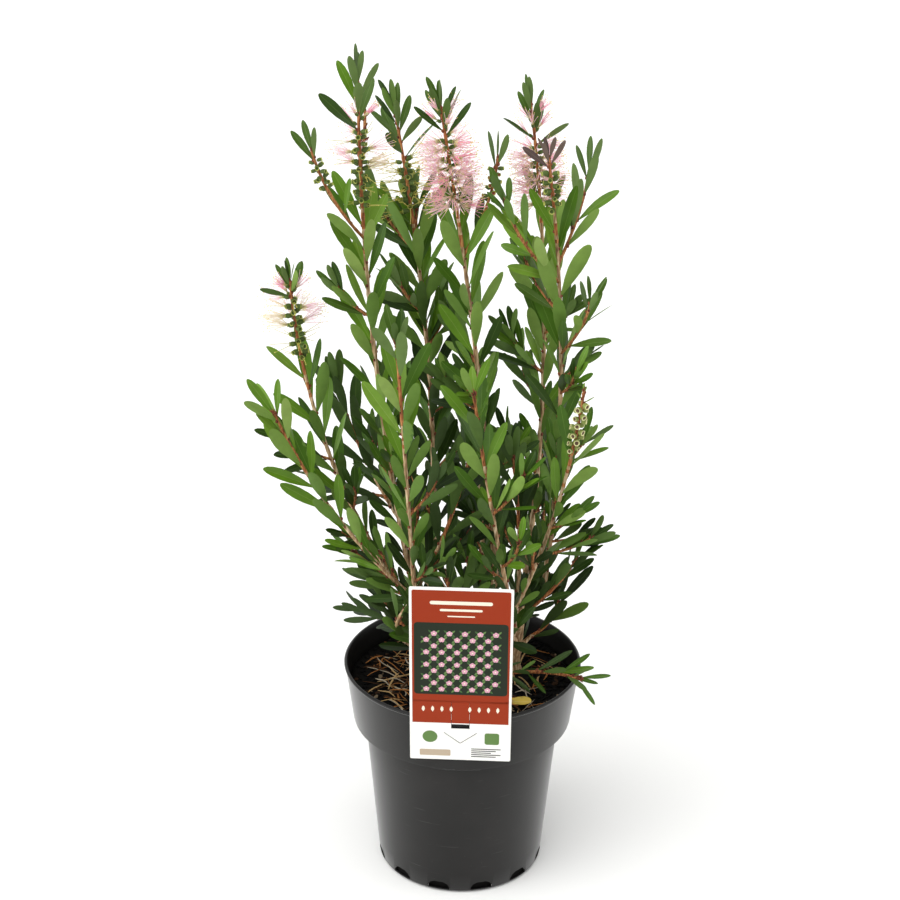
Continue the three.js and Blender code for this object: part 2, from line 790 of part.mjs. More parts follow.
// The card stands on the collar's slope. Its tongue goes back over the rim and down inside the wall.
function buildLabel() {
  const [half, corner] = [LABEL_WIDTH / 2, LABEL_CORNER];
  const [low, high] = [-LABEL_BELOW_RIM, LABEL_ABOVE_RIM];
  const outline = new THREE.Shape();
  outline.moveTo(-half + corner, low);
  outline.lineTo(half - corner, low);
  outline.absarc(half - corner, low + corner, corner, -Math.PI / 2, 0);
  outline.absarc(half - corner, high - corner, corner, 0, Math.PI / 2);
  outline.absarc(-half + corner, high - corner, corner, Math.PI / 2, Math.PI);
  outline.absarc(-half + corner, low + corner, corner, Math.PI, 1.5 * Math.PI);
  const card = new THREE.ExtrudeGeometry(outline, {
    depth: LABEL_THICKNESS,
    bevelEnabled: false,
    curveSegments: 4,
  }).rotateX(Math.PI / 2);

  const hook = new THREE.Shape(
    [
      [-LABEL_THICKNESS / 2, TONGUE_RISE - 1],
      [TONGUE_REACH - 1, TONGUE_RISE - 1],
      [TONGUE_REACH - 1, -TONGUE_DROP],
      [TONGUE_REACH, -TONGUE_DROP],
      [TONGUE_REACH, TONGUE_RISE],
      [-LABEL_THICKNESS / 2, TONGUE_RISE],
    ].map(([back, up]) => new THREE.Vector2(back, up)),
  );
  const tongue = new THREE.ExtrudeGeometry(hook, { depth: TONGUE_WIDTH, bevelEnabled: false })
    .rotateX(Math.PI / 2)
    .rotateZ(Math.PI / 2)
    .translate(-TONGUE_WIDTH / 2, 0, 0);

  const label = addNode("hang_label", geometryOf(solidOf(card).add(solidOf(tongue))), CARD);
  label.position.set(LABEL_SHIFT_X, -RIM_RADIUS - GAP, POT_HEIGHT);
  label.rotation.set(labelLean, 0, LABEL_YAW, "ZXY");
}

buildPot();
buildMix();
buildLabel();
for (const name of Object.keys(STEMS)) buildStem(name);
for (const { name, row, bough } of plants) buildBough(name, row, bough);
for (const plant of plants) buildShoot(plant);

export default group;
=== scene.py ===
# %% [markdown]
# # A bottlebrush shrub in its nursery pot
#
# This lesson dresses a finished CAD model of a potted flowering shrub. The model gives the pot, the
# plug of potting mix, the hang label, three stems, their boughs, and one plain solid for each leafy
# shoot. Here every one of them gets the surface of the real thing, and the plain shoots are grown
# again, leaf by leaf, stamen by stamen, by the same rule that made the solids.
#
# Lengths are in millimetres, because that is how a pot, a leaf and a stamen are measured. They turn
# into Blender's metres at one place only, where a mesh is made.

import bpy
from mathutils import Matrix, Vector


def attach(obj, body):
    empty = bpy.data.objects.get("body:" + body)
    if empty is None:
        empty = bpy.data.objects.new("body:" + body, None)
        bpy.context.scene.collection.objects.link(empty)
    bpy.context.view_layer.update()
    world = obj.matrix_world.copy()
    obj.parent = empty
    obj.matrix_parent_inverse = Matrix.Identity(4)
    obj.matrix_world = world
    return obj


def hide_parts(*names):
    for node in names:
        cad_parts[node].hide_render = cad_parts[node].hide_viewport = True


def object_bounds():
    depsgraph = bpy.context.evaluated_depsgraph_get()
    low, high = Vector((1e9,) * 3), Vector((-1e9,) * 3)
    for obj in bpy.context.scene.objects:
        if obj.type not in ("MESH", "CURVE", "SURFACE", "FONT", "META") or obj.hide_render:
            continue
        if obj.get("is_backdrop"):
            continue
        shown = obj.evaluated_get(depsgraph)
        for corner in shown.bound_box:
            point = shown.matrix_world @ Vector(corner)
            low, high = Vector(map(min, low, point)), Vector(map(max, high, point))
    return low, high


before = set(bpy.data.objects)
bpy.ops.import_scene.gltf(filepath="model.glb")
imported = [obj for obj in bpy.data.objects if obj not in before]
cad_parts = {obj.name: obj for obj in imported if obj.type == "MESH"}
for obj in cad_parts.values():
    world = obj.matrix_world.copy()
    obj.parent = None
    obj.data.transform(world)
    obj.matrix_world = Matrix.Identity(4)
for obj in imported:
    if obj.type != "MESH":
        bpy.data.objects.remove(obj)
cad_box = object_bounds()
print("CAD nodes:", len(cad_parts), "box:", [tuple(round(c, 3) for c in p) for p in cad_box])

# %% Everything else the lesson uses
import itertools
import math

import bpy
import numpy as np
from mathutils import Matrix, Vector, noise

MM = 0.001


def lerp(low, high, share):
    return low + (high - low) * share


# %% [markdown]
# ## Helpers for materials
#
# Colours are written as sRGB hex values, the way a colour picker shows them. Shaders work in linear
# light, so one function turns a hex value into linear numbers. A second one adds a node: settings
# are its own properties or the values of its sockets, and links are the sockets that feed it.
#
# Nearly every skin here is a plain colour with cloudy patches in it and a fine relief, and differs
# only in the size of both. That recipe is a function too.

# %% Colour and node helpers
def linear(hex_colour):
    channels = [int(hex_colour[i : i + 2], 16) / 255 for i in (1, 3, 5)]
    return [c / 12.92 if c <= 0.04045 else ((c + 0.055) / 1.055) ** 2.4 for c in channels] + [1]


def add_node(tree, kind, settings=None, links=None):
    node = tree.nodes.new("ShaderNode" + kind)
    for name, value in (settings or {}).items():
        if name == "stops":
            elements = node.color_ramp.elements
            while len(elements) < len(value):
                elements.new(0.5)
            for element, (place, colour) in zip(elements, value):
                element.position = place
                element.color = linear(colour)
        elif isinstance(name, int) or name in node.inputs:
            node.inputs[name].default_value = value
        else:
            setattr(node, name, value)
    for name, socket in (links or {}).items():
        tree.links.new(socket, node.inputs[name])
    return node


def new_material(name, colour, **settings):
    """A material with one Principled shader. Returns the material, its tree and the shader."""
    material = bpy.data.materials.new(name)
    material.use_nodes = True
    tree = material.node_tree
    tree.nodes.clear()
    shader = add_node(tree, "BsdfPrincipled", {"Base Color": linear(colour), **settings})
    add_node(tree, "OutputMaterial", links={"Surface": shader.outputs[0]})
    return material, tree, shader


def per_mm(size):
    """The scale of a pattern whose features are this many millimetres across."""
    return 1 / (size * MM)


def mottled(name, colour, patches, share, relief=None, grain=None, **settings):
    """A skin of one colour with cloudy patches and, if given, a fine relief.

    patches and grain are the size in millimetres and the detail of a pattern. The relief follows
    the grain, or else the patches. share is how much the patches darken the colour, and relief is
    a strength and a depth in millimetres.
    """
    material, tree, shader = new_material(name, colour, **settings)
    place = add_node(tree, "TexCoord").outputs["Object"]
    size, detail = patches
    pattern = {"Scale": per_mm(size), "Detail": detail}
    clouds = add_node(tree, "TexNoise", pattern, {"Vector": place})
    darken = {"data_type": "RGBA", "blend_type": "MULTIPLY", 0: share, 6: linear(colour)}
    shade = add_node(tree, "Mix", darken, {7: clouds.outputs["Fac"]})
    tree.links.new(shade.outputs[2], shader.inputs["Base Color"])
    if grain:
        size, detail = grain
        pattern = {"Scale": per_mm(size), "Detail": detail}
        clouds = add_node(tree, "TexNoise", pattern, {"Vector": place})
    if relief:
        strength, depth = relief
        bump = {"Strength": strength, "Distance": depth * MM}
        height = add_node(tree, "Bump", bump, {"Height": clouds.outputs["Fac"]})
        tree.links.new(height.outputs[0], shader.inputs["Normal"])
    return material


# %% [markdown]
# ## One shape, many small parts
#
# A shrub is thousands of small closed forms: leaves, stamens, seed cups, bark chips. Making an
# object for each would be slow, so a Shape collects points and faces, and becomes one mesh at the
# end. Nearly every form here is a tube: a row of rings, skinned and closed at both ends. A blade,
# a twig and a cup differ only in their rings.

# %% Shapes and pieces
ORIGIN = Vector((0, 0, 0))
RIGHT, BACK, UP = Vector((1, 0, 0)), Vector((0, 1, 0)), Vector((0, 0, 1))


class Shape:
    def __init__(self):
        self.points, self.faces, self.finishes = [], [], []

    def add(self, points, faces, finish=0):
        first = len(self.points)
        self.points += points
        self.faces += [[first + corner for corner in face] for face in faces]
        self.finishes += [finish] * len(faces)

    def skin(self, rings, finish=0):
        """Joins rings of equal corners and closes both ends. finish may differ from band to band."""
        sides, bands = len(rings[0]), len(rings) - 1
        finishes = finish if isinstance(finish, list) else [finish] * bands
        first = len(self.points)
        for ring in rings:
            self.points += ring
        for band in range(bands):
            low = first + band * sides
            for k in range(sides):
                after = (k + 1) % sides
                self.faces.append([low + k, low + after, low + sides + after, low + sides + k])
            self.finishes += [finishes[band]] * sides
        top = first + bands * sides
        self.faces += [[first + k for k in reversed(range(sides))], [top + k for k in range(sides)]]
        self.finishes += [finishes[0], finishes[-1]]


def new_mesh(name, shape, materials):
    mesh = bpy.data.meshes.new(name)
    mesh.from_pydata((np.array(shape.points, float) * MM).tolist(), [], shape.faces)
    mesh.polygons.foreach_set("material_index", shape.finishes)
    mesh.polygons.foreach_set("use_smooth", [True] * len(mesh.polygons))
    for material in materials:
        mesh.materials.append(material)
    thing = bpy.data.objects.new(name, mesh)
    bpy.context.scene.collection.objects.link(thing)
    return thing


def finish_piece(thing, replaces=(), crease=None):
    """Sets the piece's crisp edges (bends over crease degrees) and hands it to the frame."""
    if crease:
        thing.data.set_sharp_from_angle(angle=math.radians(crease))
    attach(thing, "root")
    if replaces:
        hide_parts(*replaces)
    triangles = sum(len(face.vertices) - 2 for face in thing.data.polygons)
    print(f"{thing.name}: {triangles} triangles")


def cut(thing, shape):
    """Cuts the closed forms of a shape out of a thing."""
    cutter = new_mesh("cutter", shape, [])
    boolean = thing.modifiers.new("cut", "BOOLEAN")
    boolean.object = cutter
    boolean.solver = "EXACT"
    result = bpy.data.meshes.new_from_object(
        thing.evaluated_get(bpy.context.evaluated_depsgraph_get())
    )
    thing.modifiers.clear()
    thing.data = result
    bpy.data.objects.remove(cutter)


def frame_round(axis):
    """Two directions square to an axis, and to each other."""
    side = axis.cross(UP if abs(axis.z) < 0.9 else RIGHT).normalized()
    return side, axis.cross(side)


def swing(side, front, angle):
    """The direction at this angle from one direction towards another."""
    return side * math.cos(angle) + front * math.sin(angle)


def ring_round(centre, side, front, radius, sides):
    angles = [2 * math.pi * k / sides for k in range(sides)]
    return [centre + radius * swing(side, front, a) for a in angles]


def turned_form(shape, base, axis, profile, sides, finish=0):
    """A form turned round an axis from a profile of (distance, radius) pairs."""
    side, front = frame_round(axis)
    rings = [ring_round(base + axis * d, side, front, r, sides) for d, r in profile]
    shape.skin(rings, finish)


# %% [markdown]
# ## The camera
#
# A product picture of a potted plant is taken from a little above, far enough away that the pot's
# rim and base are both seen. The camera is placed by its real position, its tilt and its slight
# roll. Its lens is stated by its focal length and the picture's width, both in pixels.

# %% The camera
PICTURE_WIDTH = 900  # pixels
FOCAL_LENGTH = 2084  # pixels
SENSOR_WIDTH = 36
CAMERA_PLACE = Vector((-12.8, -1572.1, 1089))
CAMERA_TILT = math.radians(23.98)  # downwards
CAMERA_ROLL = math.radians(0.63)

camera_data = bpy.data.cameras.new("camera")
camera_data.sensor_width = SENSOR_WIDTH
camera_data.lens = SENSOR_WIDTH * FOCAL_LENGTH / PICTURE_WIDTH
camera = bpy.data.objects.new("camera", camera_data)
bpy.context.scene.collection.objects.link(camera)
look_down = Matrix.Rotation(math.pi / 2 - CAMERA_TILT, 4, "X")
roll = Matrix.Rotation(CAMERA_ROLL, 4, "Z")
camera.matrix_world = Matrix.Translation(CAMERA_PLACE * MM) @ look_down @ roll
bpy.context.scene.camera = camera
print(f"lens: {camera_data.lens:.1f} mm")

# %% [markdown]
# ## Floor and light
#
# The plant stands on a plain pale floor in soft studio light. White walls stand behind it and at its
# sides, and the room in front is darker, so a smooth pot is dark in the middle and shines at both
# edges. A broad soft lamp from the upper left does the modelling. Two more stand low at the sides,
# because a smooth upright wall mirrors only what is about as low as it is. All are suns with a wide
# disc: rays that stay parallel light the whole floor alike, so it is white far away too.

# %% Floor and light
WHITE_PAPER = "#F6F6F4"
scene = bpy.context.scene
scene.view_settings.view_transform = "Standard"
world = bpy.data.worlds.new("studio")
world.use_nodes = True
scene.world = world
ROOM_FRONT, ROOM_BACK = 0.3, 0.72  # brightness of the dark front of the room and of its walls
sky = world.node_tree.nodes["Background"]
sky.inputs["Color"].default_value = linear("#FFFFFF")
direction = add_node(world.node_tree, "TexCoord").outputs["Generated"]
split = add_node(world.node_tree, "SeparateXYZ", links={"Vector": direction})
room_light = {"From Min": -0.9, "From Max": 0.2, "To Min": ROOM_FRONT, "To Max": ROOM_BACK}
depth = add_node(world.node_tree, "MapRange", room_light, {"Value": split.outputs["Y"]})
world.node_tree.links.new(depth.outputs[0], sky.inputs["Strength"])

FLOOR_SIDE = 16000
paper, _, _ = new_material("backdrop_paper", WHITE_PAPER, Roughness=0.9)
floor_shape = Shape()
half_floor = FLOOR_SIDE / 2
floor_corners = [(-1, -1), (1, -1), (1, 1), (-1, 1)]
floor_points = [Vector((x * half_floor, y * half_floor, 0)) for x, y in floor_corners]
floor_shape.add(floor_points, [[0, 1, 2, 3]])
new_mesh("floor", floor_shape, [paper])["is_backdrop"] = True

LAMPS = {  # direction towards the lamp, width of its disc in degrees, strength
    "key": ((-0.35, -0.7, 1.5), 60, 2.1),
    "left strip": ((-1, -0.38, 0.12), 54, 2.4),
    "right strip": ((1, -0.1, 0.12), 40, 1.3),
}
for name, (towards, width, strength) in LAMPS.items():
    lamp_data = bpy.data.lights.new(name, "SUN")
    lamp_data.angle = math.radians(width)
    lamp_data.energy = strength
    lamp = bpy.data.objects.new(name, lamp_data)
    scene.collection.objects.link(lamp)
    lamp.rotation_euler = Vector(towards).to_track_quat("Z", "Y").to_euler()
print("lamps:", ", ".join(LAMPS))

# %% [markdown]
# ## The pot: moulded polypropylene
#
# A 200 mm nursery pot is blown or moulded from thin recycled plastic. Its deep collar stiffens the
# rim, and the body below steps in, so that pots stack. It is a turned form, so a half profile gives
# all of it. The drain holes round its foot are cut out afterwards, as a punch would.
#
# Moulded polypropylene is dark and satin, neither glossy nor dull. Its index of refraction is 1.49.
# What makes it look real is wear: faint rubbed streaks, pale specks of dust, and a fine
# orange-peel relief from the mould, about 1.5 mm across.

# %% Pot sizes
POT_HEIGHT = 193
RIM_RADIUS = 101.5
COLLAR_FOOT_Z = 141
COLLAR_FOOT_RADIUS = 94.5
BODY_TOP_RADIUS = 84
BASE_RADIUS = 72
POT_WALL = 2
LIP = 0.9  # the rolled edge of the rim stands this proud
MIX_TOP_Z = 174
SHOULDER_Z = COLLAR_FOOT_Z - 3
COLLAR_SLOPE = (RIM_RADIUS - COLLAR_FOOT_RADIUS) / (POT_HEIGHT - COLLAR_FOOT_Z)
LOWER_WALL_Z, LOWER_WALL_SHARE = 20, 17 / 133  # a point low on the body, and how far up its slope


# %% The pot's plastic
def inside_shade_polypropylene():
    """The inside wall: the same plastic, darker and without sheen, as painted shade."""
    unsheened = {"Roughness": 0.4, "IOR": 1.49, "Specular IOR Level": 0.15}
    return new_material("inside_shade_polypropylene", "#141312", **unsheened)[0]


def polypropylene():
    # Dust takes away half of what the skin mirrors square on, and lights up where it is seen aslant.
    dusty = {"Specular IOR Level": 0.2, "Sheen Weight": 0.55, "Sheen Roughness": 0.35}
    material, tree, shader = new_material(
        "moulded_polypropylene", "#1A1817", Roughness=0.4, IOR=1.49, **dusty
    )
    place = add_node(tree, "TexCoord").outputs["Object"]
    clouds = add_node(tree, "TexNoise", {"Scale": per_mm(60), "Detail": 5}, {"Vector": place})
    flat = {"Scale": (per_mm(28), per_mm(28), per_mm(1.1))}
    drawn = add_node(tree, "Mapping", flat, {"Vector": place})
    rubs = add_node(tree, "TexNoise", {"Scale": 1, "Detail": 3}, {"Vector": drawn.outputs[0]})
    grit = add_node(tree, "TexVoronoi", {"Scale": per_mm(7)}, {"Vector": place})
    tones = []
    for pattern, stops in (
        (clouds.outputs["Fac"], [(0.3, "#141312"), (0.55, "#191817"), (0.8, "#211F1E")]),
        (rubs.outputs["Fac"], [(0.0, "#000000"), (0.69, "#000000"), (0.74, "#8A8A8A")]),
        (grit.outputs["Distance"], [(0.0, "#B8B4AA"), (0.07, "#000000"), (1.0, "#000000")]),
    ):
        ramp = add_node(tree, "ValToRGB", {"stops": stops}, {"Fac": pattern})
        tones.append(ramp.outputs[0])
    tone, rubbed, specks = tones
    for share, marks in ((0.1, rubbed), (0.06, specks)):
        lighten = {"data_type": "RGBA", "blend_type": "ADD", 0: share}
        tone = add_node(tree, "Mix", lighten, {6: tone, 7: marks}).outputs[2]
    tree.links.new(tone, shader.inputs["Base Color"])
    satin = {"To Min": 0.38, "To Max": 0.5}
    gloss = add_node(tree, "MapRange", satin, {"Value": clouds.outputs["Fac"]})
    tree.links.new(gloss.outputs[0], shader.inputs["Roughness"])
    peel = add_node(tree, "TexNoise", {"Scale": per_mm(1.5), "Detail": 2}, {"Vector": place})
    bump = {"Strength": 0.25, "Distance": 0.1 * MM}
    relief = add_node(tree, "Bump", bump, {"Height": peel.outputs["Fac"]})
    tree.links.new(relief.outputs[0], shader.inputs["Normal"])
    return material


# %% The pot
POT_SIDES = 192
INSIDE_BAND = 18  # the profile's bands from this one on are the inside wall
DRAIN_HOLES = 12
DRAIN_WIDTH = 19
DRAIN_HEIGHT = 8
DRAIN_SILL = POT_WALL + 0.6
DRAIN_CUT = (60, 76)  # from the axis
DRAIN_ARCH = [
    (-1, 0.35), (-0.8, 0.75), (-0.4, 1), (0.4, 1), (0.8, 0.75), (1, 0.35), (1, -1), (-1, -1)
]  # across and up, in half widths and heights


def pot():
    profile = [
        (0, 0.01),
        (0, BASE_RADIUS - 5),
        (0.5, BASE_RADIUS - 2.2),
        (1.6, BASE_RADIUS - 0.8),
        (3.2, BASE_RADIUS),
        (LOWER_WALL_Z, lerp(BASE_RADIUS, BODY_TOP_RADIUS, LOWER_WALL_SHARE)),
        (SHOULDER_Z - 6, BODY_TOP_RADIUS - 0.4),
        (SHOULDER_Z - 2.5, BODY_TOP_RADIUS + 0.4),
        (SHOULDER_Z - 0.8, BODY_TOP_RADIUS + 3.5),
        (SHOULDER_Z + 0.6, COLLAR_FOOT_RADIUS - 2),
        (SHOULDER_Z + 1.6, COLLAR_FOOT_RADIUS - 0.5),
        (COLLAR_FOOT_Z + 0.5, COLLAR_FOOT_RADIUS),
        (POT_HEIGHT - 4, RIM_RADIUS - 0.6),
        (POT_HEIGHT - 3, RIM_RADIUS - 0.3),
        (POT_HEIGHT - 2.4, RIM_RADIUS + LIP - 0.5),
        (POT_HEIGHT - 1.2, RIM_RADIUS + LIP - 0.3),
        (POT_HEIGHT - 0.3, RIM_RADIUS),
        (POT_HEIGHT, RIM_RADIUS - 0.8),
        (POT_HEIGHT - 0.2, RIM_RADIUS - 1.7),
        (POT_HEIGHT - 1, RIM_RADIUS - POT_WALL - 0.2),
        (POT_HEIGHT - 8, RIM_RADIUS - POT_WALL - 1.1),
        (COLLAR_FOOT_Z + POT_WALL, COLLAR_FOOT_RADIUS - POT_WALL),
        (SHOULDER_Z, BODY_TOP_RADIUS - POT_WALL),
        (POT_WALL, BASE_RADIUS - POT_WALL),
        (POT_WALL, 0.01),
    ]
    shape = Shape()
    # The inside wall's bands take the darker plastic without sheen: painted shade.
    inside = [1 if i >= INSIDE_BAND else 0 for i in range(len(profile) - 1)]
    turned_form(shape, ORIGIN, UP, profile, POT_SIDES, inside)
    thing = new_mesh("pot_shell", shape, [polypropylene(), inside_shade_polypropylene()])
    holes = Shape()
    for i in range(DRAIN_HOLES):
        angle = 2 * math.pi * (i + 0.5) / DRAIN_HOLES
        out = Vector((math.cos(angle), math.sin(angle), 0))
        across = Vector((-out.y, out.x, 0)) * DRAIN_WIDTH / 2
        ring = [across * u + UP * (DRAIN_SILL + DRAIN_HEIGHT * v) for u, v in DRAIN_ARCH]
        ring = [Vector((p.x, p.y, max(p.z, DRAIN_SILL))) for p in ring]
        holes.skin([[p + out * reach for p in reversed(ring)] for reach in DRAIN_CUT])
    cut(thing, holes)
    finish_piece(thing, ["pot"], crease=38)


pot()

# %% [markdown]
# ## The potting mix: composted bark, with straw on top
#
# Potting mix is not a brown disc. It is thousands of bark crumbs, so dark when moist that only the
# odd dry one shows, with pale slivers of straw and needles lying across them. The plug itself is a
# turned form, and noise raises its top ring by ring. Crumbs and straws are then scattered on it as
# closed forms of their own, each kind joined into one mesh.

# %% The plug
MIX_SEED = 7
mix_random = np.random.default_rng(MIX_SEED)
MIX_CLEARANCE = 0.6
MIX_EDGE = RIM_RADIUS - POT_WALL - (POT_HEIGHT - MIX_TOP_Z) * COLLAR_SLOPE - MIX_CLEARANCE
MIX_FLOOR_Z = POT_WALL + 0.3
MIX_EDGE_DROP = 2
MIX_RINGS = 34
MIX_SIDES = 120


def mix_height(x, y):
    """The height of the mix: low mounds 35 mm across, and crumbs 5 mm across."""
    mounds = noise.noise(Vector((x / 35, y / 35, 1)))
    crumbs = noise.noise(Vector((x / 5, y / 5, 4)))
    return MIX_TOP_Z - 0.5 + 2.0 * mounds + 1.0 * crumbs


def earthen(name, colour, roughness=0.95, grain=2):
    """Crumbs and straw are too rough to mirror anything, and the wet between them is in shade."""
    dull = {"Roughness": roughness, "Specular IOR Level": 0.12}
    return mottled(name, colour, (grain, 6), 0.75, relief=(0.8, 0.4), **dull)


def mix_plug():
    shape = Shape()
    low = [(MIX_FLOOR_Z, 0.01)]
    for z, radius in (
        (MIX_FLOOR_Z, BASE_RADIUS),
        (SHOULDER_Z, BODY_TOP_RADIUS),
        (COLLAR_FOOT_Z + POT_WALL, COLLAR_FOOT_RADIUS),
    ):
        low.append((z, radius - POT_WALL - MIX_CLEARANCE))
    rings = [ring_round(UP * z, RIGHT, BACK, radius, MIX_SIDES) for z, radius in low]
    for i in range(MIX_RINGS + 1):
        radius = max(MIX_EDGE * (1 - i / MIX_RINGS), 0.01)
        drop = MIX_EDGE_DROP if i == 0 else 0
        flat = ring_round(ORIGIN, RIGHT, BACK, radius, MIX_SIDES)
        rings.append([Vector((p.x, p.y, mix_height(p.x, p.y) - drop)) for p in flat])
    shape.skin(rings)
    thing = new_mesh("mix_plug", shape, [earthen("moist_bark_fines", "#0C0A08")])
    finish_piece(thing, ["potting_mix"])


mix_plug()

# %% Bark crumbs
CRUMBS = 1500
CRUMB_TONES = {  # colour, share
    "bark_crumb_black": ("#060505", 0.6),
    "bark_crumb_brown": ("#0F0B08", 0.28),
    "bark_crumb_warm": ("#3F2B1C", 0.09),
    "bark_crumb_pale": ("#84735C", 0.03),
}
CRUMB_LENGTH, CRUMB_WIDTH, CRUMB_THICKNESS = (2.5, 8), (1.6, 4.5), (0.8, 2.4)
CRUMB_SECTIONS = ((-0.5, 0.55), (0, 1), (0.5, 0.6))  # along the crumb, and how wide it is there
CRUMB_JITTER = (0.75, 1.15)
STEM_FEET = {"left": (-14, 2), "middle": (14, -4), "right": (44, 18)}
STEM_CLEARANCE = 8


def place_on_mix(margin):
    """A random place on the mix, clear of its edge and of the stems."""
    while True:
        x, y = mix_random.uniform(-1, 1, 2) * (MIX_EDGE - margin)
        clear = all(math.hypot(x - sx, y - sy) > STEM_CLEARANCE for sx, sy in STEM_FEET.values())
        if math.hypot(x, y) < MIX_EDGE - margin and clear:
            return Vector((x, y, mix_height(x, y)))


def random_turn(tilt):
    """A turn about Z, and then a lean of up to tilt degrees."""
    lean = math.radians(mix_random.uniform(-tilt, tilt))
    about = Matrix.Rotation(mix_random.uniform(0, 2 * math.pi), 3, "Z")
    return about @ Matrix.Rotation(lean, 3, "Y")


def scatter_crumbs():
    shape = Shape()
    shares = [share for _, share in CRUMB_TONES.values()]
    box = [(-1, -1), (1, -1), (1, 1), (-1, 1)]
    for _ in range(CRUMBS):
        centre = place_on_mix(4)
        long = mix_random.uniform(*CRUMB_LENGTH)
        wide = mix_random.uniform(*CRUMB_WIDTH)
        thick = mix_random.uniform(*CRUMB_THICKNESS)
        turn = random_turn(28)
        rings = []
        for end, narrow in CRUMB_SECTIONS:
            ring = []
            for y, z in box:
                jitter = mix_random.uniform(*CRUMB_JITTER, 3)
                along = end * long * jitter[0]
                across = y * wide / 2 * narrow * jitter[1]
                up = z * thick / 2 * narrow * jitter[2]
                ring.append(centre + turn @ Vector((along, across, up)) + UP * thick * 0.25)
            rings.append(ring)
        shape.skin(rings, int(mix_random.choice(len(shares), p=shares)))
    tones = [earthen(name, colour) for name, (colour, _) in CRUMB_TONES.items()]
    finish_piece(new_mesh("bark_crumbs", shape, tones), crease=30)


scatter_crumbs()

# %% Straw and needles
STRAWS = 330
STRAW_LENGTH, STRAW_WIDTH = (9, 34), 1.9
STRAW_DRIFT_X, STRAW_THINNED = -20, 0.45  # right of this place, this share of it is left out
STRAW_STEPS = 5
STRAW_TONES = {
    "straw_orange": ("#B27640", 0.28),
    "straw_tan": ("#D2AE78", 0.24),
    "straw_grey": ("#C6B8A0", 0.14),
    "straw_brown": ("#55371F", 0.34),
}


def scatter_straws():
    shape = Shape()
    shares = [share for _, share in STRAW_TONES.values()]
    for _ in range(STRAWS):
        start = place_on_mix(14)
        # Most straw has gathered on the left of the pot.
        if start.x > STRAW_DRIFT_X and mix_random.random() < STRAW_THINNED:
            continue
        length = mix_random.uniform(*STRAW_LENGTH)
        width = mix_random.uniform(0.5, 1) ** 2 * STRAW_WIDTH
        heading = mix_random.uniform(0, 2 * math.pi)
        bend = mix_random.uniform(-0.5, 0.5)
        lift = mix_random.uniform(0.2, 2.2)
        rise = mix_random.uniform(-1.5, 7)
        rings = []
        for i in range(STRAW_STEPS + 1):
            share = i / STRAW_STEPS
            angle = heading + bend * share
            way = Vector((math.cos(angle), math.sin(angle), 0))
            centre = start + way * length * (share - 0.5)
            reach = math.hypot(centre.x, centre.y)
            if reach > MIX_EDGE - 2:
                centre *= (MIX_EDGE - 2) / reach
            hump = 4 * share * (1 - share)
            centre.z = mix_height(centre.x, centre.y) + lift + hump * 0.8 + rise * share
            half = width / 2 * (0.35 + 0.65 * hump**0.5) + 0.05
            rings.append(ring_round(centre, Vector((-way.y, way.x, 0)), UP, half, 4))
        shape.skin(rings, int(mix_random.choice(len(shares), p=shares)))
    tones = [earthen(name, colour, 0.8, 1.2) for name, (colour, _) in STRAW_TONES.items()]
    finish_piece(new_mesh("straw_bits", shape, tones))


scatter_straws()

# %% [markdown]
# ## The hang label: printed polypropylene card
#
# A plant label is die-cut from a sheet of white plastic, 0.8 mm thick. A slot lets the pot's rim
# through, and an arrow-shaped tab below it is pushed behind. Slot, tab and the two slits above it
# are real cuts here, because their dark lines show. The tongue goes back over the rim.
#
# The print is plain: a burnt-orange ground, a dark green panel set with rows of small rosettes and
# leaves, and bare bars where a label has its words. Each colour is a film of ink, drawn as a thin
# closed form on the card, each layer a little prouder than the last, so that none flickers.

# %% Label sizes and its place on the rim
LABEL_WIDTH = 83
LABEL_ABOVE_RIM = 133
LABEL_BELOW_RIM = 41
LABEL_THICKNESS = 0.8
LABEL_CORNER = 1.4
LABEL_SHIFT_X = -1.8
LABEL_YAW = math.radians(-2.5)
TONGUE_WIDTH = 26
TONGUE_REACH = 6
TONGUE_DROP = 15
TONGUE_RISE = 1.8
TONGUE_THICKNESS = 1
TONGUE_OVERLAP = 0.4

label_place = (
    Matrix.Translation((LABEL_SHIFT_X, -RIM_RADIUS - LIP - 0.1, POT_HEIGHT))
    @ Matrix.Rotation(LABEL_YAW, 4, "Z")
    @ Matrix.Rotation(math.atan(COLLAR_SLOPE), 4, "X")
)


def on_label(u, v, proud):
    """A point u to the right and v up on the card, proud of its back face."""
    return label_place @ Vector((u, -proud, v))


def flat_form(shape, outline, low, high, finish=0):
    """A closed form with this outline, from one height over the card's back to another."""
    shape.skin([[on_label(u, v, proud) for u, v in outline] for proud in (low, high)], finish)


def rounded(left, bottom, right, top, corner):
    """A rectangle with round corners, as an outline of points."""
    outline = []
    centres = [(right - corner, top - corner), (left + corner, top - corner)]
    centres += [(left + corner, bottom + corner), (right - corner, bottom + corner)]
    for quarter, (u, v) in enumerate(centres):
        for step in range(5):
            angle = math.pi / 2 * (quarter + step / 4)
            outline.append((u + corner * math.cos(angle), v + corner * math.sin(angle)))
    return outline


def disc(u, v, radius, sides=20):
    angles = [2 * math.pi * k / sides for k in range(sides)]
    return [(u + radius * math.cos(a), v + radius * math.sin(a)) for a in angles]


# %% The card
SLOT_HALF, SLOT_LOW, SLOT_HIGH = 7.6, -8.5, -3.5
TAB_HALF, TAB_TOP, TAB_TIP = 13.5, -12, -23
TAB_LINE = 1.1
SLIT_TOP, SLIT_WIDTH = 19, 0.35


def coated(name, colour):
    """Offset ink or bare plastic under a matt laminate, with the sheet's faint rolled grain."""
    matt = {"Roughness": 0.38, "IOR": 1.49, "Specular IOR Level": 0.2}
    return mottled(name, colour, (1.2, 3), 0.06, relief=(0.15, 0.05), **matt)


white_card = coated("white_polypropylene_card", "#F2F1EC")


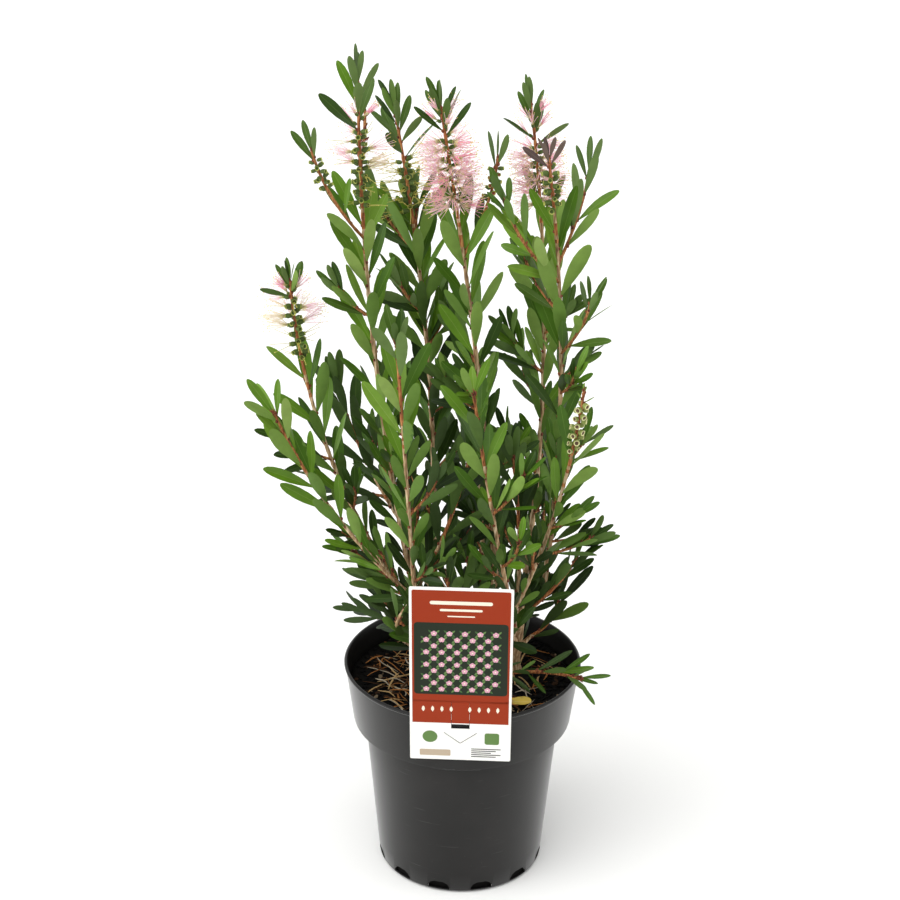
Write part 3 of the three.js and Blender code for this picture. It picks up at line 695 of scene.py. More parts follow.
def label_card():
    half = LABEL_WIDTH / 2
    card = Shape()
    outline = rounded(-half, -LABEL_BELOW_RIM, half, LABEL_ABOVE_RIM, LABEL_CORNER)
    flat_form(card, outline, 0, LABEL_THICKNESS)
    thing = new_mesh("label_card", card, [white_card])
    cuts = Shape()
    # The slot and both slits are one outline, and the two arms of the tab another.
    inner = SLOT_HALF - SLIT_WIDTH
    slot = [(-SLOT_HALF, SLOT_LOW), (SLOT_HALF, SLOT_LOW), (SLOT_HALF, SLIT_TOP), (inner, SLIT_TOP)]
    slot += [(inner, SLOT_HIGH), (-inner, SLOT_HIGH), (-inner, SLIT_TOP), (-SLOT_HALF, SLIT_TOP)]
    tab = [(-TAB_HALF, TAB_TOP), (-TAB_HALF, TAB_TOP - TAB_LINE), (0, TAB_TIP - TAB_LINE)]
    tab += [(TAB_HALF, TAB_TOP - TAB_LINE), (TAB_HALF, TAB_TOP), (0, TAB_TIP)]
    for line in (slot, tab):
        flat_form(cuts, line, -1, 2)
    cut(thing, cuts)
    finish_piece(thing, ["hang_label"], crease=30)

    bend, under = TONGUE_REACH - TONGUE_THICKNESS, TONGUE_RISE - TONGUE_THICKNESS
    hook = [(-TONGUE_OVERLAP, under), (bend, under), (bend, -TONGUE_DROP)]
    hook += [(TONGUE_REACH, -TONGUE_DROP), (TONGUE_REACH, TONGUE_RISE)]
    hook += [(-TONGUE_OVERLAP, TONGUE_RISE)]
    tongue = Shape()
    ends = (-TONGUE_WIDTH / 2, TONGUE_WIDTH / 2)
    tongue.skin([[on_label(u, up, -back) for back, up in hook] for u in ends])
    finish_piece(new_mesh("label_tongue", tongue, [white_card]), crease=30)


label_card()

# %% The print
INKS = {
    "ink_burnt_orange": "#942D04",
    "ink_bottle_green": "#1A2415",
    "ink_leaf_green": "#5F7F45",
    "ink_fern_green": "#3F5F33",
    "ink_blossom_pink": "#E2A9BC",
    "ink_cream": "#F0E6D2",
    "ink_tan": "#B9A892",
    "ink_slate": "#4A4A48",
}
ORANGE, BOTTLE, LEAF, FERN, PINK, CREAM, TAN, SLATE = range(len(INKS))
PRINT_SIDE = 39.4  # the orange ground ends this far from the card's middle
ORANGE_LOW, ORANGE_HIGH = -2.5, 130.5
PANEL_LOW, PANEL_HIGH = 27, 99
PANEL_MARGIN = 1.6
ROSETTE_PITCH = 12.4
PETALS, PETAL_REACH, PETAL_RING = 5, 2.5, 1.35
LEAF_RING, LEAF_SIZE = 4.1, (4.6, 1.7)
TITLE_BARS = ((118.5, 25, 3.4), (111.5, 17, 2.2), (105.5, 11, 1.2))  # height, half width, thickness
LEAF_ROW_V, LEAF_ROW_PITCH, LEAF_ROW_SIZE = 12, 7.6, (6, 2.6)
TEXT_LINES, TEXT_TOP, TEXT_PITCH = 5, -29, 2
TEXT_LEFT, TEXT_RIGHT, TEXT_RAGGED = 9, 33.5, 4
BADGE_DISC = (-25, -17, 6.2)  # its place and radius
BADGE_SQUARE = (20, -24, 32, -12, 2)  # left, bottom, right, top and corner
TAN_BAR = (-33.5, -37, -8, -30.5, 1)
FILM = 0.03  # each layer of ink stands this much over the one below


def ink(shape, outline, layer, finish):
    flat_form(shape, outline, LABEL_THICKNESS - 0.1, LABEL_THICKNESS + layer * FILM, finish)


def lozenge(u, v, length, width, angle):
    """A small leaf shape that points along an angle."""
    c, s = math.cos(angle), math.sin(angle)
    corners = [(-0.5, 0), (-0.12, -0.5), (0.22, -0.42), (0.5, 0), (0.22, 0.42), (-0.12, 0.5)]
    placed = [(a * length, b * width) for a, b in corners]
    return [(u + a * c - b * s, v + a * s + b * c) for a, b in placed]


def label_print():
    shape = Shape()
    # The ground leaves the slits and the slot free.
    ground = [rounded(-PRINT_SIDE, SLIT_TOP, PRINT_SIDE, ORANGE_HIGH, 1.5)]
    inner, low, high = SLOT_HALF - SLIT_WIDTH, ORANGE_LOW, SLIT_TOP + 2
    for left, right in ((-PRINT_SIDE, -SLOT_HALF), (SLOT_HALF, PRINT_SIDE), (-inner, inner)):
        ground.append([(left, low), (right, low), (right, high), (left, high)])
    for outline in ground:
        ink(shape, outline, 1, ORANGE)

    panel_side = PRINT_SIDE - PANEL_MARGIN
    ink(shape, rounded(-panel_side, PANEL_LOW, panel_side, PANEL_HIGH, 3), 2, BOTTLE)
    rows = int((PANEL_HIGH - PANEL_LOW - 4) / (ROSETTE_PITCH / 2))
    for row in range(rows):
        v = PANEL_LOW + 5.5 + row * ROSETTE_PITCH / 2
        shift = (row % 2) * ROSETTE_PITCH / 2
        for column in range(-3, 4):
            u = column * ROSETTE_PITCH + shift - ROSETTE_PITCH / 4
            if abs(u) > PRINT_SIDE - 6 or v > PANEL_HIGH - 4.5:
                continue
            for k, green in ((0, LEAF), (1, FERN), (2, LEAF), (3, FERN)):
                angle = math.radians(45 + 90 * k)
                centre = (u + LEAF_RING * math.cos(angle), v + LEAF_RING * math.sin(angle) * 0.6)
                ink(shape, lozenge(*centre, *LEAF_SIZE, angle), 3, green)
            for k in range(PETALS):
                angle = math.radians(90 + 360 / PETALS * k)
                centre = (u + PETAL_RING * math.cos(angle), v + PETAL_RING * math.sin(angle))
                ink(shape, disc(*centre, PETAL_REACH / 2, 8), 4, PINK)
            ink(shape, disc(u, v, 0.7, 8), 5, CREAM)

    for v, half, thick in TITLE_BARS:
        ink(shape, rounded(-half, v - thick / 2, half, v + thick / 2, thick / 2 - 0.05), 2, CREAM)
    for k in (-4, -3, -2, -1, 1, 2, 3, 4):
        leaf = lozenge(k * LEAF_ROW_PITCH, LEAF_ROW_V, *LEAF_ROW_SIZE, math.pi / 2)
        ink(shape, leaf, 2, CREAM)

    ink(shape, disc(*BADGE_DISC), 1, LEAF)
    ink(shape, rounded(*TAN_BAR), 1, TAN)
    for line in range(TEXT_LINES):
        v = TEXT_TOP - line * TEXT_PITCH
        right = TEXT_RIGHT - (line % 3) * TEXT_RAGGED
        ink(shape, rounded(TEXT_LEFT, v - 0.5, right, v + 0.5, 0.45), 1, SLATE)
    ink(shape, rounded(*BADGE_SQUARE), 1, LEAF)
    inks = [coated(name, colour) for name, colour in INKS.items()]
    finish_piece(new_mesh("label_print", shape, inks), crease=20)


label_print()

# %% [markdown]
# ## How the shrub grows
#
# Three short stems rise from one root. Each carries several boughs, and each bough goes on as one
# leafy shoot. The CAD model holds this as named points and a seeded rule, and the same points and
# rule stand here, so that everything grows within the reach of its own solid. The solids have few
# and broad leaves. This rule sets more and slimmer ones, and adds short sprigs that the solids
# leave out.
#
# A limb is a tapering axis: a smooth curve, walked by distance. The random numbers come from the
# rule's own small generator, so a side twig leaves its shoot where the solid has it.

# %% Stems and shoots, as the model names them
GAP = 0.3
STEM_FORKS = {"left": (-30, -4, 222), "middle": (17, 4, 228), "right": (49, 13, 224)}
# The stem and how far up it the bough leaves, the knee where the shoot begins, its tip, its bow, how
# many random side twigs it may have, and its flower spike: start and end below the tip, and stage.
SHOOTS = {
    "left_flower": ("left", 0.75, (-49, 12, 245), (-142, 1, 535), (-18, 0, -6), 2, (14, 68, "fading")),
    "left_low": ("left", 0.62, (-33, -23, 255), (-152, -60, 447), (-10, 0, -6), 0),
    "left_inner": ("left", 0.5, (-46, 37, 292), (-109, 70, 416), (-5, 0, -3), 1),
    "left_skirt": ("left", 0.3, (-38, 9, 208), (-74, 22, 256), (-4, 0, -4), 1),
    "tall_left": ("left", 1, (-40, -6, 250), (-86, -10, 702), (-11, 0, -1), 2, (41, 102, "fading")),
    "front_left": ("left", 0.47, (-39, -45, 255), (-55, -75, 514), (0, 1, 0), 2),
    "crossing": ("left", 0.2, (-52, -37, 255), (3, -20, 392), (6, 0, -2), 1),
    "tall_back": ("middle", 0.72, (-26, 39, 265), (-60, 55, 662), (10, 0, 1), 3, (42, 84, "styles")),
    "tall_middle": ("middle", 1, (27, 12, 270), (-23, 0, 679), (5, 0, 1), 3, (25, 83, "full")),
    "front_middle": ("middle", 0.4, (42, -48, 255), (5, -80, 474), (-2, 0, 0), 2),
    "thin_middle": ("middle", 0.8, (46, -10, 258), (38, -31, 398), (3, 0, 0), 0),
    "back_left": ("middle", 0.36, (-22, 66, 255), (-60, 118, 394), (-4, 4, -3), 2),
    "back_middle": ("middle", 0.6, (18, 62, 250), (8, 125, 400), (0, 6, -4), 2),
    "low_front": ("middle", 0.5, (2, -32, 226), (-14, -58, 300), (-2, -4, -3), 1),
    "low_back": ("middle", 0.25, (22, 46, 214), (30, 88, 292), (2, 6, -4), 1),
    "rim_right": ("middle", 0.2, (44, -17, 189), (99, -50, 203), (0, 0, 3), 0),
    "right_back": ("right", 0.62, (54, 34, 262), (49, 69, 665), (13, -1, 1), 3, (36, 84, "full")),
    "right_tall": ("right", 1, (68, -1, 262), (60, -29, 648), (12, 1, 0), 2, (10, 43, "cups")),
    "right_front": ("right", 0.42, (40, -22, 245), (92, -60, 469), (8, 0, -2), 2, (13, 58, "capsules")),
    "right_low": ("right", 0.66, (56, -12, 248), (94, -22, 302), (2, 0, -2), 0),
    "right_skirt": ("right", 0.24, (62, 22, 205), (82, 24, 236), (3, 0, -3), 0),
    "back_right": ("right", 0.36, (62, 60, 250), (80, 112, 374), (3, 4, -3), 2),
}
NAMED_TWIGS = {  # how far along the shoot, where the twig ends, and what it bears
    "tall_left": [(0.72, (-120, -40, 654), "cups"), (0.84, (-82, 22, 669), "buds")],
    "tall_middle": [(0.7, (22, 10, 636), "cups")],
    "right_back": [(0.44, (36, 40, 479), "leaves")],
    "right_tall": [
        (0.12, (94, -12, 318), "leaves"),
        (0.57, (96, -42, 537), "leaves"),
        (0.66, (45, -10, 559), "leaves"),
        (0.73, (26, -50, 620), "leaves"),
        (0.77, (94, 10, 628), "leaves"),
    ],
}

# %% Limbs
STEM_FLARE_RADIUS, STEM_FLARE_HEIGHT = 8.5, 9
STEM_FOOT_RADIUS, STEM_FORK_RADIUS = 5.2, 4.2
BOUGH_SWELL = 0.9
SHOOT_RADIUS, SHOOT_RADIUS_PER_MM, SHOOT_TIP_RADIUS = 1.4, 1 / 420, 1.1
TWIG_RADIUS = 1.3
STEM_BOW, TWIG_BOW = 0.1, 0.14  # the bow of a limb, as a share of its reach
LIMB_STEPS = 32


def seeded(seed):
    """The rule's random numbers, from 0 to 1."""
    state = (seed + 1) * 2654435761 & 0xFFFFFFFF

    def draw(low=0, high=1):
        nonlocal state
        state = (state * 1664525 + 1013904223) & 0xFFFFFFFF
        return lerp(low, high, state / 4294967296)

    return draw


def bowed(start, end, bow):
    """A curve from start to end whose middle stands off the straight line by bow."""
    middle = (start + end) / 2 + 2 * bow
    return lambda t: (1 - t) ** 2 * start + 2 * t * (1 - t) * middle + t**2 * end


class Limb:
    def __init__(self, curve, foot_radius, tip_radius):
        self.points = [curve(i / LIMB_STEPS) for i in range(LIMB_STEPS + 1)]
        self.lengths = [0]
        for low, high in zip(self.points, self.points[1:]):
            self.lengths.append(self.lengths[-1] + (high - low).length)
        self.length = self.lengths[-1]
        self.foot_radius, self.tip_radius = foot_radius, tip_radius

    def radius(self, distance):
        return lerp(self.foot_radius, self.tip_radius, distance / self.length)

    def at(self, distance):
        """The place, and the directions along, to the side and to the front."""
        i = 1
        while i < LIMB_STEPS and self.lengths[i] < distance:
            i += 1
        low, high = self.points[i - 1], self.points[i]
        share = (distance - self.lengths[i - 1]) / (self.lengths[i] - self.lengths[i - 1])
        along = (high - low).normalized()
        side = along.cross(BACK).normalized()
        return low.lerp(high, share), along, side, along.cross(side)


def stem_limb(name):
    start, end = Vector((*STEM_FEET[name], MIX_TOP_Z + GAP)), Vector(STEM_FORKS[name])
    bow = Vector((end.x - start.x, end.y - start.y, 0)) * STEM_BOW
    return Limb(bowed(start, end, bow), STEM_FOOT_RADIUS, STEM_FORK_RADIUS)


def bough_limb(stem, rise, knee, tip, bow):
    """A bough leaves its stem outwards and turns into the line of its shoot."""
    start, stem_along, _, _ = stem.at(rise * stem.length)
    reach = (knee - start).length / 3
    outward = ((knee - start).normalized() + 0.5 * stem_along).normalized()
    leave = start + outward * reach
    shoot = bowed(knee, tip, bow)
    arrive = knee - (shoot(0.0001) - knee).normalized() * reach

    def curve(t):
        u = 1 - t
        return u**3 * start + 3 * u * u * t * leave + 3 * u * t * t * arrive + t**3 * knee

    radius = SHOOT_RADIUS + (tip - knee).length * SHOOT_RADIUS_PER_MM
    return Limb(curve, radius + BOUGH_SWELL, radius)


def twig_limb(shoot, distance, tip):
    """A side twig leaves its shoot outwards and bends up towards its own tip."""
    point, along, _, _ = shoot.at(distance)
    reach = tip - point
    outward = reach - along * reach.dot(along)
    return Limb(bowed(point, tip, outward * TWIG_BOW), TWIG_RADIUS, SHOOT_TIP_RADIUS)


# %% [markdown]
# ## Room in the crown
#
# Real leaves push each other aside. Here each limb, spike and leaf is remembered as a few balls,
# and a new leaf or twig has to keep clear of the balls of other shoots. To look through all of them
# for each leaf would take minutes, so they are kept in a grid of small cells, and a point looks
# only into its own cell.

# %% What is taken
CELL = 12
WIDEST_CLEARANCE = 6
BALL_PITCH = 4


class Room:
    def __init__(self):
        self.cells = {}

    def take(self, point, radius, owner):
        reach = radius + WIDEST_CLEARANCE
        spans = []
        for c in point:
            low, high = math.floor((c - reach) / CELL), math.floor((c + reach) / CELL)
            spans.append(range(low, high + 1))
        ball = (point.x, point.y, point.z, radius, owner)
        for cell in itertools.product(*spans):
            self.cells.setdefault(cell, []).append(ball)

    def take_limb(self, limb, owner):
        for s in np.arange(0, limb.length, BALL_PITCH):
            self.take(limb.at(s)[0], limb.radius(s), owner)

    def is_taken(self, point, owner, clearance, near_root):
        cell = tuple(math.floor(c / CELL) for c in point)
        for x, y, z, radius, other in self.cells.get(cell, ()):
            if near_root and other == owner or other == owner + " stamens":
                continue
            dx, dy, dz = point.x - x, point.y - y, point.z - z
            if dx * dx + dy * dy + dz * dz < (radius + clearance) ** 2:
                return True
        return False


room = Room()

WALL_MARGIN_OUTSIDE, WALL_MARGIN_INSIDE = 4, 8
MIX_MARGIN = 4
LABEL_MARGIN_ABOVE, LABEL_MARGIN_BEHIND = 4, 5


def is_open(point):
    """True above the mix, clear of the pot's wall and behind the label."""
    if point.z < MIX_TOP_Z + MIX_MARGIN:
        return False
    past = math.hypot(point.x, point.y) - RIM_RADIUS
    at_wall = -WALL_MARGIN_INSIDE < past < WALL_MARGIN_OUTSIDE
    if at_wall and point.z < POT_HEIGHT + WALL_MARGIN_OUTSIDE:
        return False
    label_y = -RIM_RADIUS - (point.z - POT_HEIGHT) * COLLAR_SLOPE
    above = point.z > POT_HEIGHT + LABEL_ABOVE_RIM + LABEL_MARGIN_ABOVE
    return above or point.y > label_y + LABEL_MARGIN_BEHIND


def twig_is_clear(twig, owner, clearance):
    for s in np.arange(twig.length * 0.1, twig.length, BALL_PITCH):
        point = twig.at(s)[0]
        if not is_open(point) or room.is_taken(point, owner, clearance, s < twig.length * 0.6):
            return False
    return True


# %% Grow the wood
SPIKE_REACH = {"full": 20, "fading": 20, "styles": 7, "cups": 7, "capsules": 7}
CUP_REACH, SPIKE_BALL_PITCH = 5.5, 6
TWIG_START, TWIG_SPAN = 0.16, 0.42
TWIG_TILT, TWIG_LENGTH, TWIG_CLEARANCE = (34, 50), (34, 58), 6
SPRIG_PITCH = 70  # one fine sprig is tried for this much of the shoot's lower part
SPRIG_SPAN = 0.55  # that part's share of the shoot
SPRIG_TILT, SPRIG_LENGTH, SPRIG_CLEARANCE = (28, 46), (16, 34), 4
SPRIG_SEED = 100
NAMED_SPRIGS = {  # where one fills a gap in the crown: how far along the shoot, and its tip
    "low_front": [(0.15, (15, -26, 284)), (0.35, (3, -30, 304))],
    "tall_middle": [(0.03, (3, 14, 296))],
    "left_low": [(0.05, (-76, -26, 282)), (0.17, (-92, -20, 305))],
    "left_skirt": [(0.35, (-70, 2, 250))],
    "tall_back": [(0.5, (-38, 60, 506)), (0.7, (-76, 64, 588)), (0.72, (-44, 66, 592))],
    "right_back": [(0.22, (33, 32, 392))],
    "right_front": [(0.42, (88, -46, 352))],
}


def side_twig(shoot, distance, turn, tilt, length):
    point, along, side, front = shoot.at(distance)
    outward = swing(side, front, turn)
    return twig_limb(shoot, distance, point + length * swing(along, outward, tilt))


class Plant:
    """One bough with its shoot, side twigs and sprigs."""

    def __init__(self, index, name, stem, rise, knee, tip, bow, twig_count, bloom=None):
        knee, tip, bow = Vector(knee), Vector(tip), Vector(bow)
        self.name, self.bloom, self.twig_count = name, bloom, twig_count
        self.random = seeded(index)
        self.fine = seeded(index + SPRIG_SEED)
        self.bough = bough_limb(stems[stem], rise, knee, tip, bow)
        start = knee + self.bough.at(self.bough.length)[1] * GAP / 2
        self.shoot = Limb(bowed(start, tip, bow), self.bough.tip_radius, SHOOT_TIP_RADIUS)
        self.twigs, self.cup_twigs, self.bud_twigs = [], [], []

    def add_twigs(self):
        for share, tip, bears in NAMED_TWIGS.get(self.name, ()):
            twig = twig_limb(self.shoot, share * self.shoot.length, Vector(tip))
            self.twigs.append(twig)
            self.cup_twigs += [twig] if bears == "cups" else []
            self.bud_twigs += [twig] if bears == "buds" else []
        for i in range(self.twig_count):
            share = TWIG_START + TWIG_SPAN * (i + self.random()) / self.twig_count
            turn = self.random(0, 2 * math.pi)
            tilt = math.radians(self.random(*TWIG_TILT))
            length = self.random(*TWIG_LENGTH)
            twig = side_twig(self.shoot, self.shoot.length * share, turn, tilt, length)
            if twig_is_clear(twig, self.name, TWIG_CLEARANCE):
                self.twigs.append(twig)
        for twig in self.twigs:
            room.take_limb(twig, self.name)

    def add_sprigs(self):
        """Fine sprigs that the solids leave out, over the lower part of the shoot."""
        for share, tip in NAMED_SPRIGS.get(self.name, ()):
            sprig = twig_limb(self.shoot, share * self.shoot.length, Vector(tip))
            self.twigs.append(sprig)
            room.take_limb(sprig, self.name)
        for i in range(int(self.shoot.length * SPRIG_SPAN / SPRIG_PITCH)):
            distance = SPRIG_PITCH * (i + self.fine(0.1, 0.9))
            turn = self.fine(0, 2 * math.pi)
            tilt = math.radians(self.fine(*SPRIG_TILT))
            sprig = side_twig(self.shoot, distance, turn, tilt, self.fine(*SPRIG_LENGTH))
            if twig_is_clear(sprig, self.name, SPRIG_CLEARANCE):
                self.twigs.append(sprig)
                room.take_limb(sprig, self.name)


stems = {name: stem_limb(name) for name in STEM_FEET}
plants = [Plant(index, name, *row) for index, (name, row) in enumerate(SHOOTS.items())]
for name, stem in stems.items():
    room.take_limb(stem, "stem_" + name)
for plant in plants:
    room.take_limb(plant.bough, plant.name)
    room.take_limb(plant.shoot, plant.name)
for plant in plants:
    if plant.bloom:
        start, end, kind = plant.bloom
        for s in range(start, end + 1, SPIKE_BALL_PITCH):
            middle = plant.shoot.at(plant.shoot.length - s)[0]
            # Its own leaves may stand among its stamens, and only keep clear of its cups.
            room.take(middle, SPIKE_REACH[kind], plant.name + " stamens")
            room.take(middle, CUP_REACH, plant.name)
for plant in plants:
    plant.add_twigs()
for plant in plants:
    plant.add_sprigs()
print("limbs:", sum(2 + len(plant.twigs) for plant in plants) + len(stems))

# %% [markdown]
# ## Bark and twigs
#
# Young stems have thin bark that splits lengthways, so the relief runs along the limb: long low
# ridges, a little swelling at each old leaf scar, and a flare at the foot. The mesh itself has this
# relief, ring by ring, because it shows in the outline of a stem only 10 mm thick. Noise in a plane
# across the limb would shear where the limb leans, so it is read in the limb's own coordinates.
#
# Old wood is tan-grey. The top of a shoot, still in its first year, is red-brown, and the side
# twigs are orange-brown. A leafy shoot changes colour gradually, so bands of it take turns.

# %% Bark
def bark(name, colour, dark, pale, grain):
    """Wood skin: lengthwise fibres of this many millimetres, between a dark and a pale tone."""
    material, tree, shader = new_material(name, colour, Roughness=0.85, IOR=1.45)
    place = add_node(tree, "TexCoord").outputs["Object"]
    scale = (per_mm(grain), per_mm(grain), per_mm(grain * 7))
    drawn = add_node(tree, "Mapping", {"Scale": scale}, {"Vector": place})
    fibres = add_node(tree, "TexNoise", {"Scale": 1, "Detail": 5}, {"Vector": drawn.outputs[0]})
    stops = {"stops": [(0.32, dark), (0.5, colour), (0.7, pale)]}
    tone = add_node(tree, "ValToRGB", stops, {"Fac": fibres.outputs["Fac"]})
    tree.links.new(tone.outputs[0], shader.inputs["Base Color"])
    bump = {"Strength": 0.7, "Distance": 0.25 * MM}
    relief = add_node(tree, "Bump", bump, {"Height": fibres.outputs["Fac"]})
    tree.links.new(relief.outputs[0], shader.inputs["Normal"])
    return material


OLD_BARK = bark("bark_tan_grey", "#A98861", "#674B33", "#E0CBA9", 1.8)
YOUNG_BARK = bark("bark_red_brown", "#9A5A30", "#5E321C", "#CA9058", 1.4)
TWIG_BARK = bark("bark_orange_brown", "#955C30", "#5E3720", "#BE8A54", 1.2)


# The step from ring to ring, the corners of a ring, the height of the ridges, and the swelling and
# the pitch of the old leaf scars.
BARK_RELIEF = {
    "stem": (2.2, 14, 0.16, 0.5, 17),
    "bough": (2.6, 10, 0.14, 0.45, 15),
    "shoot": (3.4, 8, 0.1, 0.35, 12.8),
    "twig": (4, 6, 0.08, 0.25, 11),
}
STEM_OVERLAP, BOUGH_OVERLAP = 1.5, 0.6  # how far a limb runs on into the next one
SHOOT_START = -2
BUTTRESSES, BUTTRESS_RELIEF, FLARE_REACH, STEM_SUNK = 4, 0.25, 30, 3.5
RIDGES, RIDGE_LENGTH = 2.2, 11  # the pattern of the ridges: how closely they stand, and their length
FINE_RIDGES, FINE_LENGTH = 4.5, 4.5
YOUNG_WOOD, YOUNG_BELOW_SPIKE, YOUNG_SWAY = 80, 12, 25  # where first-year wood ends below a tip


def limb_rings(limb, kind, start, end, seed):
    """Rings along a limb, raised by lengthwise ridges, and swollen at every old leaf scar."""
    step, sides, relief, swelling, pitch = BARK_RELIEF[kind]
    rings = []
    count = max(2, round((end - start) / step))
    for i in range(count + 1):
        s = lerp(start, end, i / count)
        point, _, side, front = limb.at(s)
        node = swelling * max(0, math.cos(2 * math.pi * s / pitch)) ** 6
        radius = limb.radius(s) + node
        ring = []
        for k in range(sides):
            a = 2 * math.pi * k / sides
            c, d = math.cos(a), math.sin(a)
            fibre = noise.noise(Vector((RIDGES * c + seed, RIDGES * d, s / RIDGE_LENGTH)))
            fine = noise.noise(Vector((FINE_RIDGES * c, FINE_RIDGES * d + seed, s / FINE_LENGTH)))
            r = radius * (1 + relief * (fibre + 0.5 * fine))
            ring.append(point + r * swing(side, front, a))
        rings.append(ring)
    return rings


def grow_stems_and_boughs():
    shape = Shape()
    step, sides = BARK_RELIEF["stem"][:2]
    widening = STEM_FLARE_RADIUS / STEM_FOOT_RADIUS - 1
    for i, stem in enumerate(stems.values()):
        rings = limb_rings(stem, "stem", 0, stem.length + STEM_OVERLAP, i * 9)
        # The foot flares into the mix, in four buttresses.
        for ring, s in zip(rings, np.arange(0, FLARE_REACH, step)):
            flare = widening * math.exp(-s / STEM_FLARE_HEIGHT * 1.6)
            centre = stem.at(s)[0]
            for k, corner in enumerate(ring):
                buttress = 1 + BUTTRESS_RELIEF * math.cos(2 * math.pi * BUTTRESSES * k / sides + i)
                ring[k] = centre + (corner - centre) * (1 + flare * buttress)
        sunk = [corner - UP * STEM_SUNK for corner in rings[0]]
        shape.skin([sunk, *rings])
    for i, plant in enumerate(plants):
        bough = plant.bough
        shape.skin(limb_rings(bough, "bough", 0, bough.length + BOUGH_OVERLAP, i * 7))
    names = ["stem_" + name for name in stems] + ["bough_" + plant.name for plant in plants]
    finish_piece(new_mesh("stems_and_boughs", shape, [OLD_BARK]), names)


def grow_shoots():
    shape, twigs = Shape(), Shape()
    for i, plant in enumerate(plants):
        shoot = plant.shoot
        rings = limb_rings(shoot, "shoot", SHOOT_START, shoot.length, i * 5)
        bands = len(rings) - 1
        # First-year wood reaches from the tip to the foot of the spike, and mixes with old wood.
        young = plant.bloom[1] + YOUNG_BELOW_SPIKE if plant.bloom else YOUNG_WOOD
        finishes = []
        for band in range(bands):
            to_tip = shoot.length - lerp(SHOOT_START, shoot.length, (band + 0.5) / bands)
            is_young = to_tip < young + plant.fine(-YOUNG_SWAY, YOUNG_SWAY)
            finishes.append(1 if is_young else 0)
        shape.skin(rings, finishes)
        for j, twig in enumerate(plant.twigs):
            twigs.skin(limb_rings(twig, "twig", 0, twig.length, i + j * 3))
    finish_piece(new_mesh("shoot_wood", shape, [OLD_BARK, YOUNG_BARK]))
    finish_piece(new_mesh("twig_wood", twigs, [TWIG_BARK]))


grow_stems_and_boughs()
grow_shoots()

# %% [markdown]
# ## The leaves
#
# A bottlebrush leaf is a narrow blade, widest past its middle, with a round tip, and it narrows to
# a short stalk. It is leathery: it holds a shallow fold along the midrib, a slight bend, and some
# twist. A grown one is 43 to 58 mm long and a fifth as wide. The upper side is a waxy mid green,
# and the under side is paler and duller. The midrib is a thin pale line.
#
# Each leaf here is a closed blade of ten rings. One ring has the two margins, the two sides of the
# midrib's strip, a point inside each half of the blade, and the keel below. Colour goes by spray:
# every twig gets its tone, its leaves stray a little from it, low sprays are darker as painted
# shade, and a spray's own light lifts its tone as painted light.

# %% Leaf tones
# The first five tones are one leaf green from well lit to shaded: partly leaves that differ at random,
# partly painted light and painted shade.
LEAF_TONES = {  # upper side, under side
    "bright": ("#719630", "#89A450"),
    "well_lit": ("#5D851C", "#769540"),
    "mid": ("#436812", "#618232"),
    "deep": ("#304C0E", "#4D682A"),
    "shade": ("#20350C", "#3A5022"),
    "young": ("#48661E", "#647E40"),
    "bronze": ("#544440", "#6B5A50"),
}
TONE_NAMES = list(LEAF_TONES)
DEEP, SHADE, YOUNG, BRONZE = map(TONE_NAMES.index, ("deep", "shade", "young", "bronze"))


def leathery(name, colour, roughness):
    """Leaf skin. The wax makes it satin, and faint cloudy patches keep a blade from being flat."""
    waxy = {"Roughness": roughness, "IOR": 1.42, "Specular IOR Level": 0.3}
    return mottled(name, colour, (9, 3), 0.35, relief=(0.2, 0.08), grain=(0.9, 2), **waxy)


# %% The leaf rule
LEAF_LENGTH = 52
LEAF_WIDTH_RATIO = 0.205
LEAF_WIDEST = 0.64
LEAF_SPACING, TWIG_LEAF_SPACING = 8.4, 6.6
SPACING_SWAY = (0.6, 1.4)
TUFT_SPACING, TUFT_LENGTH = 3, 14
LEAF_TURN, TURN_SWAY = 137.5, 18
TIP_TILT, LOW_TILT, LOW_TILT_REACH = 18, 27, 130
TILT_SWAY = (-8, 10)
ROLL_SWAY = 72
SIZE_SWAY = (0.82, 1.12)
YOUNG_SIZE, YOUNG_REACH = 0.62, 45
FOOT_SIZE, FOOT_REACH = 0.5, 0.6  # leaves low on a limb are small, over this share of it
FIRST_LEAF, FIRST_TWIG_LEAF = 6, 5
CROWN_TILT, CROWN_CROWDING = (8, 52), 1.4  # its leaves crowd towards the tip
CROWN_SIZE_SWAY = (0.9, 1.08)
CROWN_SPACE = (0.3, 0.65)  # its leaves stand close: their clearance, and how far up they may touch
BEND_SWAY, SWEEP_SWAY, TWIST_SWAY = (-0.09, 0.07), (-0.05, 0.05), 22
UNDER_SPIKE, UNDER_SPIKE_SIZE, UNDER_SPIKE_TILT = 34, 0.85, 9  # leaves close below a spike lean out
UNDER_SPIKE_FRONT = -0.16
TOWARDS_LIGHT = Vector((0, -0.87, 0.5))
TWIG_LEAF_SHARE = 0.82
CLEAR_STATIONS = (0.12, 0.25, 0.38, 0.5, 0.62, 0.74, 0.87, 1)
NEAR_ROOT = 0.4
LEAF_CLEARANCE = 1.2
LEAF_BALL = 0.6  # the radius of the balls that stand for a blade, and how far out in it they are
ROOT_DEPTH = 0.6  # how far out in its limb a leaf is rooted
SECOND_TRIES = (0, 35, -35, 70, -70)
SLIMNESS = {"rim_right": 0.75}  # the leaves of a first-year sprig are narrower
YOUNG_TONE_REACH, YOUNG_TONE_Z, YOUNG_TONE_SHARE = 42, 480, 0.75
# Low in the crown the tones are darker: painted shade.
LOW_Z, LOW_SPAN = 230, 300  # tones darken from the top of this span down to its foot
HIGH_TONE, LOW_PAINTED_SHADE, TONE_SWAY = 1.2, 3, 1.1


